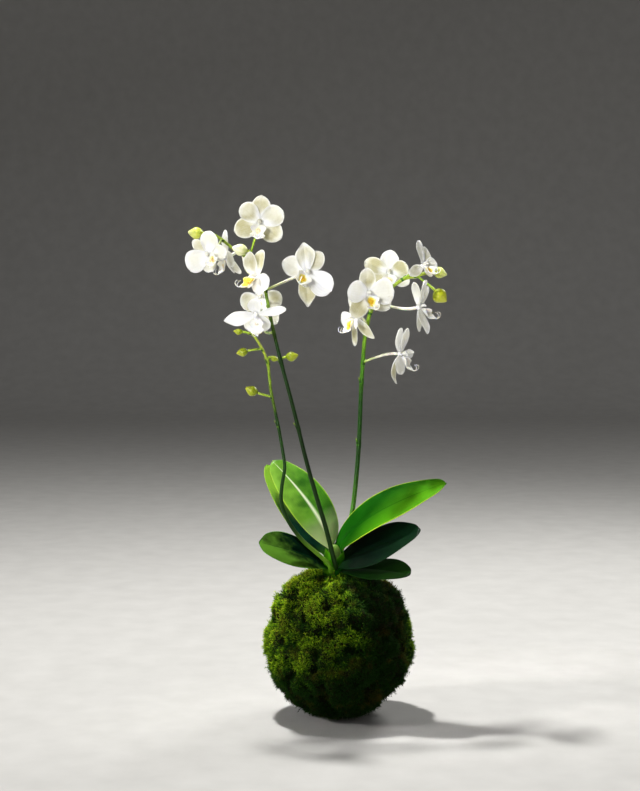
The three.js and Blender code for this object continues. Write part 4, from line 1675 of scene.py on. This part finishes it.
@dataclass
class Lip:
    """The lip: side lobes that stand up round the column, a middle lobe, a callus and two curled tendrils."""

    flower: Flower
    path: tuple[Point, ...] = ((0, -1.9, 1.6), (0, -7.2, 4.6), (0, -12.2, 8.4), (0, -13.6, 14.0))
    widths: tuple[float, ...] = (1.5, 5.6, 7.2, 5.0, 7.0, 5.0, 0.3)  # half widths, in even steps to the tip
    curls: tuple[float, ...] = (0.5, 0.8, 0.7, 0.5, 0.25, 0.2, 0.1)  # how far the sides stand up there
    # the tendril on the flower's right side
    tendril: tuple[Point, ...] = (
        (0.3, -13.5, 13.4),
        (1.1, -13.2, 15.8),
        (2.2, -11.4, 17.4),
        (2.9, -9.2, 17.0),
        (2.9, -8.0, 15.6),
        (2.3, -8.6, 14.7),
    )
    bump_at: Point = (0.85, -6.8, 6.2)  # the callus is two bumps; this is the right one
    bump_radii: Point = (0.9, 1.2, 1.1)

    def between(self, values: Sequence[float], u: float) -> float:
        """Read a row of even steps, rounding from one to the next.

        Args:
            values: The row.
            u: The share of the way along it.

        Returns:
            The value there.
        """
        place = u * (len(values) - 1)
        k = min(len(values) - 2, int(place))
        return values[k] + (values[k + 1] - values[k]) * smooth(0.0, 1.0, place - k)

    def build(self, material: bpy.types.Material) -> None:
        """Build the lip in the flower's frame.

        Args:
            material: Its finish.
        """
        shape = bmesh.new()
        uv = shape.loops.layers.uv.verify()
        middle = Rail.spline(self.path)
        phase = fraction(self.flower.number) * math.tau

        def surface(u: float, v: float) -> Vector:
            """Give a point of the upper face.

            Args:
                u: From 0 to 1 along it.
                v: From -1 to 1 across it.

            Returns:
                The point.
            """
            half = self.between(self.widths, u)
            along = middle.along(u)
            over = Vector((0, along.z, -along.y))
            wave = 0.3 * math.sin(phase + 5 * u + 2 * v)
            rise = self.between(self.curls, u) * half * v * v + wave * v * v
            return middle.at(u) + Vector((half * v, 0, 0)) + over * rise

        gold = self.flower.gold
        add_blade(
            shape, surface, lambda u, v: 0.75 - 0.3 * v * v, along=30, around=32, tone=lambda u, v: gold
        )
        tones = shape.verts.layers.float["tone"]
        for side in (-1, 1):
            tendril = Rail.spline([(side * x, y, z) for x, y, z in self.tendril])
            add_tube(shape, tendril, lambda s: 0.38 * (1 - s) + 0.12, rings=14, sides=8)
        for side in (-1, 1):
            bump = bmesh.ops.create_uvsphere(shape, u_segments=10, v_segments=8, radius=1.0, calc_uvs=True)
            for vertex in bump["verts"]:
                vertex[tones] = gold
                for loop in vertex.link_loops:
                    loop[uv].uv = CALLUS_UV
            x, y, z = self.bump_at
            bmesh.ops.scale(shape, vec=self.bump_radii, verts=bump["verts"])
            bmesh.ops.translate(shape, vec=(side * x, y, z), verts=bump["verts"])
        bmesh.ops.transform(shape, matrix=self.flower.frame, verts=shape.verts)
        name = f"lip_{self.flower.number:02d}"
        finish_piece(shape, name, material, [name])


# ---- Flower spikes ----


@dataclass
class FlowerSpike:
    """A flower spike: a firm stem with scales at its joints, and the stalks of its flowers and buds."""

    name: str
    foot: float  # radius at its foot
    tip: float  # and at its tip
    joints: tuple[float, ...]  # shares of its length
    # on the spikes these greens are partly painted light and shade
    stops: tuple[tuple[float, str], ...]  # the stem's green along its length
    path: tuple[Point, ...]
    flowers: tuple[Flower, ...] = ()
    buds: tuple[Bud, ...] = ()
    stalk: float = 1.15
    swell: float = 0.16  # how much thicker it is at a joint, as a share
    swell_reach: float = 2.6  # and how far from it
    first_scale: float = 7.0  # length of the lowest joint's scale
    joint_scale: float = 6.2
    fork_scale: float = 3.4

    def __post_init__(self) -> None:
        """Lay the stem's middle line."""
        self.rail = Rail.spline(self.path)

    def radius(self, share: float) -> float:
        """Give the stem's radius, swollen a little at its joints and forks.

        Args:
            share: Where on the stem.

        Returns:
            The radius.
        """
        plain = self.foot + (self.tip - self.foot) * share
        places = (*self.joints, *(item.fork for item in (*self.flowers, *self.buds)))
        gaps = (abs(share - place) * self.rail.lengths[-1] for place in places)
        return plain * (1 + self.swell * sum(math.exp(-((gap / self.swell_reach) ** 2)) for gap in gaps))

    def add_scale(self, shape: bmesh.types.BMesh, share: float, towards: Vector, length: float) -> None:
        """Add the small pointed scale that hugs the stem at a joint.

        Args:
            shape: The mesh to add to.
            share: Where on the stem.
            towards: The side that it is on.
            length: From its foot to its tip.
        """
        foot, along = self.rail.at(share), self.rail.along(share)
        out = (towards - along * towards.dot(along)).normalized()
        radius = self.radius(share)

        def surface(u: float, v: float) -> Vector:
            """Give a point of the scale's outer face.

            Args:
                u: From 0 to 1 up it.
                v: From -1 to 1 round the stem.

            Returns:
                The point.
            """
            wrap = 1.9 * v * (1 - u) ** 0.6
            around = out.copy()
            around.rotate(Quaternion(along, wrap))
            return foot + along * (length * u - 1.0) + around * (radius + 0.15 + 0.14 * length * u * u)

        add_blade(shape, surface, lambda u, v: 0.55 - 0.25 * u, along=8, around=16)

    def build_stem(self) -> None:
        """Build the stem with its scales."""
        shape = bmesh.new()
        rings = int(self.rail.lengths[-1] / 2.0)
        add_tube(shape, self.rail, self.radius, rings=rings, sides=12)
        for order, share in enumerate(self.joints):
            length = self.joint_scale if order else self.first_scale
            self.add_scale(shape, share, self.rail.along(share).cross(Y_AXIS), length)
        for item in (*self.flowers, *self.buds):
            self.add_scale(shape, item.fork - 0.006, item.back - self.rail.at(item.fork), self.fork_scale)
        finish = StemFinish(f"{self.name}_skin", self.stops)
        finish_piece(shape, f"{self.name}_stem", finish.material(), [self.name])

    def build_stalks(
        self, name: str, items: Sequence[Flower | Bud], finish: StemFinish, thickness: float
    ) -> None:
        """Build the stalks of flowers or buds as one piece.

        Args:
            name: The piece's name.
            items: The flowers or buds that they carry.
            finish: Their green or cream.
            thickness: Their radius at the stem.
        """
        if not items:
            return
        shape = bmesh.new()
        for item in items:
            start, end = self.rail.at(item.fork), item.back
            behind = end - item.face * (0.3 * (end - start).length)
            by = getattr(item, "by", None)
            rail = (
                Rail.spline([start, by, behind, end])
                if by
                else Rail.bezier([start, start.lerp(behind, 0.4), behind, end])
            )
            add_tube(
                shape,
                rail,
                lambda s: thickness * (0.86 + 0.3 * s * s + 0.35 * math.exp(-((s / 0.07) ** 2))),
                rings=22,
                sides=10,
            )
        finish_piece(shape, name, finish.material())

    def build(self) -> None:
        """Build the stem and every stalk."""
        cream = tuple(item for item in self.flowers if not item.green_stalk)
        green = tuple(item for item in (*self.flowers, *self.buds) if item not in cream)
        cream_stops = ((0.0, "#93b53a"), (0.2, "#c9d58c"), (0.5, "#ece9d2"), (1.0, "#f3f1e4"))
        green_stops = ((0.0, "#7fa52c"), (0.5, "#a3bf3c"), (1.0, "#b4cb4e"))
        cream_skin = StemFinish(f"{self.name}_cream_stalk", cream_stops)
        green_skin = StemFinish(f"{self.name}_green_stalk", green_stops)
        self.build_stem()
        self.build_stalks(f"{self.name}_flower_stalks", cream, cream_skin, self.stalk)
        self.build_stalks(f"{self.name}_bud_stalks", green, green_skin, self.stalk * 0.9)


SPIKES = (
    FlowerSpike(
        "spike_centre", 2.1, 1.15, (0.41, 0.585),
        # partly painted shade: the spike's darker lower green, deepened to near black where it stands in
        # shade
        ((0.0, "#1c3c0c"), (0.35, "#142c09"), (0.64, "#1a3a0c"), (0.74, "#6a8a24"), (1.0, "#93a834")),
        ((-2.4, -12, 125), (-3, -17.6, 128.5), (-5.4, -19.7, 138), (-10.6, -22, 159), (-17, -26, 181),
         (-23, -29, 202), (-29, -31, 225), (-34.5, -32, 248), (-40, -33, 270), (-45.5, -33, 290.5),
         (-50.5, -33, 310.5), (-55, -32, 330), (-57.8, -30, 344), (-60.5, -27, 357), (-65, -25, 368.5),
         (-71.5, -24, 378.5), (-79.5, -22, 383.5), (-87.5, -20, 389), (-95, -18, 395), (-103, -17, 400)),
        (
            Flower(
                1, 0.88, (-64.5, -24, 409), (0, -4, 8), 0.94,
                ((-2, 23, 17, 0.1), (57, 22.5, 19, 0.12), (-53, 21.5, 16.5, 0.1),
                 (119, 23, 19, 0.1), (-119, 23, 18, 0.1)),
                (0.9, 0.65, 0.8, 0.85, 1), gold=0.4, green_stalk=True,
            ),
            Flower(
                2, 0.97, (-104.5, -34, 383.5), (-20, -8, -50), 0.85,
                ((0, 20, 12, 0.1), (58, 22, 18, 0.05), (-66, 25, 22, 0.12),
                 (134, 19, 16, 0.05), (-128, 17.5, 16, 0.1)),
                (0.75, 0.45, 0.35, 0.5, 0.6), gold=0.7,
            ),
            Flower(
                3, 0.81, (-91.5, -12, 381.5), (-60, -16, -4), 0.85,
                ((0, 25, 14, -0.2, -0.05), (100, 19, 17, 0.1), (-50, 21, 15, 0),
                 (160, 20, 15, -0.3), (-150, 20, 14, -0.35)),
                (0.35, 0.5, 0.5, 0.5, 0.4), gold=0.4, by=(-75, -16, 370),
            ),
            Flower(
                4, 0.82, (-65.5, -52, 365), (-58, 18, 4), 0.92,
                ((-7, 24, 22, 0.14, -0.05), (112, 20, 17, -0.2), (-31, 20.5, 18, 0.5, -0.05),
                 (150, 14, 14, -0.1), (-120, 15, 14, 0.1)),
                (1, 0.2, 0.9, 0.1, 0.1), gold=2.4,
            ),
            Flower(
                5, 0.72, (-66, -58, 336), (-6, -30, -4), 0.9,
                ((0, 16, 13, 0.1), (70, 31, 9, 0.3, 0.05), (-92, 28, 15, 0.2, 0.02, 0.4),
                 (158, 19, 15, 0), (-150, 19, 14, 0)),
                (0.2, 0, 0, 0.3, 0.3), gold=0.12,
            ),
            Flower(
                6, 0.67, (-65.5, -8, 349), (10, 4, 4), 0.94,
                ((0, 20, 16, 0.05), (106, 20, 20, 0.1), (-118, 18, 17, 0.1),
                 (146, 28, 17, 0.05), (-168, 24, 15, 0.05)),
                (0.5, 0.75, 0.7, 0.75, 0.7), gold=0.4, by=(-62, -5, 322),
            ),
            Flower(
                7, 0.785, (-27, -26, 368.5), (16, 4, 44), 1,
                ((-6, 21, 15, 0.1, -0.04), (84, 25, 21, 0.1), (-50, 24, 17, 0.1, 0, 0.5),
                 (136, 27.5, 15, 0.1, 0, 0.5), (-110, 22, 17, 0.1)),
                (0.75, 0, 0.6, 1, 0.4), gold=1.0,
            ),
        ),
        (
            Bud(1, 0.995, (-116.5, -17, 401), (-1, 0, 0.05), 12.4, 10.2, BudSkin.LIME),
            Bud(2, 0.92, (-80, -31, 387.5), (-0.9, -0.25, 0.2), 13.3, 10.0, BudSkin.CREAM),
            Bud(3, 0.6, (-38.4, -31, 301.6), (0.9, -0.1, 0.15), 10.5, 8.2),
        ),
    ),
    FlowerSpike(
        "spike_left", 1.9, 1.0, (0.637, 0.865),
        # painted light on the bright foot and painted shade on the dark middle, then the spike's own lighter
        # green towards its tip
        ((0.0, "#5f9a1c"), (0.14, "#6d9a24"), (0.26, "#1a3e0a"), (0.68, "#1d420c"), (0.8, "#83a12a"),
         (1.0, "#b4c044")),
        ((-5, -11.5, 121.6), (-6.8, -19, 123.8), (-8.6, -23, 131), (-16.4, -24.4, 138.6), (-28.4, -27, 149.6),
         (-37.5, -30, 161), (-44, -32, 173), (-47.2, -33, 185), (-46.5, -33, 197.5), (-44.3, -33, 211),
         (-45.5, -32, 222), (-49, -30, 242), (-52.3, -29, 258), (-55.3, -28, 272), (-56.8, -27, 285),
         (-58.2, -27, 297), (-62.5, -27, 307), (-66.8, -27, 314.5), (-70, -27.5, 318.5), (-74, -28.5, 320.5)),
        (),
        (
            Bud(4, 0.745, (-70.9, -30, 273.8), (-0.85, -0.1, 0.35), 11, 8.8),
            Bud(5, 0.92, (-78.5, -30, 304.8), (-0.85, -0.1, -0.2), 9.6, 7.4),
            Bud(6, 0.995, (-81.6, -29.5, 321.4), (-0.95, 0, 0.1), 7.6, 5.4),
            Bud(7, 0.865, (-52.6, -25, 299.4), (0.85, 0.1, -0.25), 7.6, 5),
        ),
    ),
    FlowerSpike(
        "spike_right", 2.2, 1.4, (0.367, 0.555),
        # painted light on the lighter foot and painted shade on the dark middle, then the spike's own lighter
        # green towards its tip
        ((0.0, "#3a7016"), (0.16, "#4c881c"), (0.3, "#1b4408"), (0.5, "#1d4c09"), (0.62, "#4a8014"),
         (0.75, "#7a9c24"), (1.0, "#a0b036")),
        ((-2, -6, 131), (1, -0.5, 136), (4, 3, 145), (8, 5.5, 156), (11.7, 8, 174), (14.2, 10, 196),
         (16.3, 12, 221), (17.5, 13, 246), (18.4, 13, 271), (19.8, 12, 294), (20.8, 11, 309), (22.3, 10, 321),
         (24.7, 9, 332), (29.6, 8, 344.5), (37, 7, 352.5), (45.2, 6, 358), (53.8, 5, 364), (61.3, 4, 365.5),
         (68.1, 3, 367.5), (74, 2.5, 368.8)),
        (
            Flower(
                8, 0.775, (23, -24, 352), (22, -4, -6), 0.92,
                ((-3, 22.5, 16, 0.1), (88, 22.5, 24, 0.2), (-76, 22, 20, 0.2),
                 (128, 24, 17, 0.1), (-136, 26, 18, 0.1)),
                (0.85, 0.35, 0.25, 0.7, 0.95), gold=1.1,
            ),
            Flower(
                9, 0.93, (42, 24, 369.5), (0, -8, 0), 0.92,
                ((0, 20, 17, 0.1), (74, 17.5, 16, 0.1), (-66, 24.5, 15, 0.1),
                 (120, 21, 15, 0.1), (-108, 18, 15, 0.1)),
                (0.3, 1, 1, 0.5, 0.8), gold=0.5, by=(64, 28, 365),
            ),
            Flower(
                10, 0.735, (13, -2, 332.5), (-62, -6, 4), 0.88,
                ((0, 22, 15, 0.1), (112, 15, 14, 0.3), (-108, 18, 16, 0.25),
                 (160, 23, 18, -0.62), (-160, 31, 12, -0.12)),
                (0.6, 0.1, 0.1, 0.8, 0.9), gold=1.4,
            ),
            Flower(
                11, 0.92, (68, -8, 374), (50, 22, 6), 0.84,
                ((20, 20, 16, 0.25, -0.05), (84, 16, 15, 0.3), (-20, 24, 13, 0.3, -0.05),
                 (134, 14, 12, 0.1), (-116, 24, 11, -0.1)),
                (0.6, 0.3, 0.4, 0.5, 0.7), gold=1.3, green_stalk=True,
            ),
            Flower(
                12, 0.81, (64.5, -12, 340.5), (62, 14, -2), 0.94,
                ((4, 22, 18, 0.01), (28, 18, 10, 0.4), (-24, 22, 18, 0.62),
                 (168, 21, 16, -0.3, 0, 0.3), (-168, 25, 17, 0.18, 0, 0.3)),
                (0.2, 0.3, 0.2, 0.4, 0.4), gold=0.12,
            ),
            Flower(
                13, 0.62, (50, -2, 302), (66, -4, 4), 0.94,
                ((-8, 23, 18, -0.4, 0.4), (84, 14, 8, 0.4), (-22, 24, 19, 0.22, 0.04),
                 (168, 27, 13, -0.8, 0.7, 0.5), (-166, 18, 24, 0.1)),
                (0, 0, 0.3, 0.8, 0.3), gold=0.12,
            ),
        ),
        (
            Bud(8, 0.995, (83, 2, 369), (0.9, -0.1, -0.35), 12, 9.5, BudSkin.LIME),
            Bud(9, 0.96, (83.5, 4, 349.5), (0.6, -0.1, -0.6), 13.5, 13, BudSkin.GREEN),
        ),
    ),
)


# ---- Studio ----


@dataclass
class Studio:
    """A plain pale floor, soft light and the camera of the photograph."""

    camera_at: Point = (-0.01583, -1.38232, 0.36424)  # metres
    pitch: float = -4.0  # degrees
    lens: float = 76.46
    floor_size: float = 14.0
    sweep: float = 3.0  # metres behind the object where the floor turns up
    sweep_radius: float = 0.8
    wall_gain: float = 2.0  # how many times the rest of the floor is stretched up into the backdrop
    grain_mm: float = 33.333  # size of the floor's faint clouds
    sky: float = 0.22  # brightness of the even grey round it
    # name, place, aim, size in metres, spread in degrees and watts
    lamps: tuple[tuple[str, Point, Point, float, float, float], ...] = (
        ("key", (-0.3, 0.18, 1.52), (0, 0, 0.2), 0.1, 180.0, 28.0),
        ("front", (-0.5, -1.0, 0.62), (0, 0, 0.4), 0.4, 20.0, 0.4),
        ("side", (-1.1, -0.45, 0.75), (-0.02, 0, 0.095), 0.3, 10.0, 0.11),
        ("fill", (1.1, -1.2, 0.6), (0, 0, 0.3), 1.2, 180.0, 1.7),
        ("rim", (0.6, 0.7, 0.9), (0, 0, 0.15), 0.5, 180.0, 6.0),
    )

    def build_floor(self) -> None:
        """Build the floor, which turns up into a plain backdrop far behind."""
        shape = bmesh.new()
        half = self.floor_size / 2
        bmesh.ops.create_grid(shape, x_segments=2, y_segments=140, size=half)
        for vertex in shape.verts:
            past = vertex.co.y - self.sweep
            if past > 0:
                angle = min(past / self.sweep_radius, math.pi / 2)
                rest = max(0.0, past - self.sweep_radius * math.pi / 2)
                rise = self.sweep_radius * (1 - math.cos(angle)) + self.wall_gain * rest
                vertex.co = (vertex.co.x, self.sweep + self.sweep_radius * math.sin(angle), rise)
        mesh = bpy.data.meshes.new("floor")
        shape.to_mesh(mesh)
        shape.free()
        mesh.shade_smooth()
        material, shader = new_material("pale_matt_board", {"Roughness": 0.75, "Specular IOR Level": 0.25})
        add = partial(add_node, material.node_tree)
        place = add("ShaderNodeTexCoord").outputs["Object"]
        scale = noise_scale(self.grain_mm)
        grain = add("ShaderNodeTexNoise", {"Vector": place, "Scale": scale, "Detail": 5.0}).outputs["Fac"]
        colour = add("ShaderNodeValToRGB", {0: grain}, ((0.3, "#bdbbb6"), (0.7, "#c5c3be"))).outputs[0]
        material.node_tree.links.new(colour, shader.inputs["Base Color"])
        mesh.materials.append(material)
        floor = bpy.data.objects.new("floor", mesh)
        bpy.context.scene.collection.objects.link(floor)

    def build_lamps(self) -> None:
        """Hang the soft lamps."""
        for name, place, aim, size, spread, power in self.lamps:
            data = bpy.data.lights.new(name, "AREA")
            data.shape, data.size, data.energy = "DISK", size, power
            data.spread = math.radians(spread)
            lamp = bpy.data.objects.new(name, data)
            lamp.location = place
            lamp.rotation_euler = (Vector(aim) - Vector(place)).to_track_quat("-Z", "Y").to_euler()
            bpy.context.scene.collection.objects.link(lamp)

    def build_world(self) -> None:
        """Surround the scene with an even pale grey."""
        world = bpy.data.worlds.new("even_grey")
        world.use_nodes = True
        world.node_tree.nodes.clear()
        sky = add_node(
            world.node_tree, "ShaderNodeBackground", {"Color": linear("#c4c4c6"), "Strength": self.sky}
        )
        add_node(world.node_tree, "ShaderNodeOutputWorld", {"Surface": sky.outputs[0]})
        bpy.context.scene.world = world
        bpy.context.scene.view_settings.view_transform = "Standard"

    def build_camera(self) -> None:
        """Set the camera at the photograph's place and angle."""
        data = bpy.data.cameras.new("camera")
        data.lens, data.sensor_width, data.sensor_fit = self.lens, 36.0, "AUTO"
        data.clip_start, data.clip_end = 0.05, 50.0
        camera = bpy.data.objects.new("camera", data)
        camera.location = self.camera_at
        camera.rotation_euler = (math.radians(90 + self.pitch), 0, 0)
        bpy.context.scene.collection.objects.link(camera)
        bpy.context.scene.camera = camera

    def build(self) -> None:
        """Build the whole studio."""
        self.build_camera()
        self.build_floor()
        self.build_lamps()
        self.build_world()


def main() -> None:
    """Build the plant round its solids, piece by piece, and write how large it came out."""
    logging.basicConfig(level=logging.INFO, format="%(name)s: %(message)s")
    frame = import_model()
    Studio().build()
    MossBall().build()
    SoilCore().dress(frame)
    leaf_materials = {green: green.value.material() for green in Green}
    Crown().build(leaf_materials)
    for leaf in LEAVES:
        leaf.build(leaf_materials)
    petal, lip = PetalFinish().material(), LipFinish().material()
    bud_materials = {skin: skin.value.material() for skin in BudSkin}
    for spike in SPIKES:
        spike.build()
        for flower in spike.flowers:
            Bloom(flower).build(petal, lip)
        for bud in spike.buds:
            bud.build(bud_materials[bud.skin])


if __name__ == "__main__":
    main()
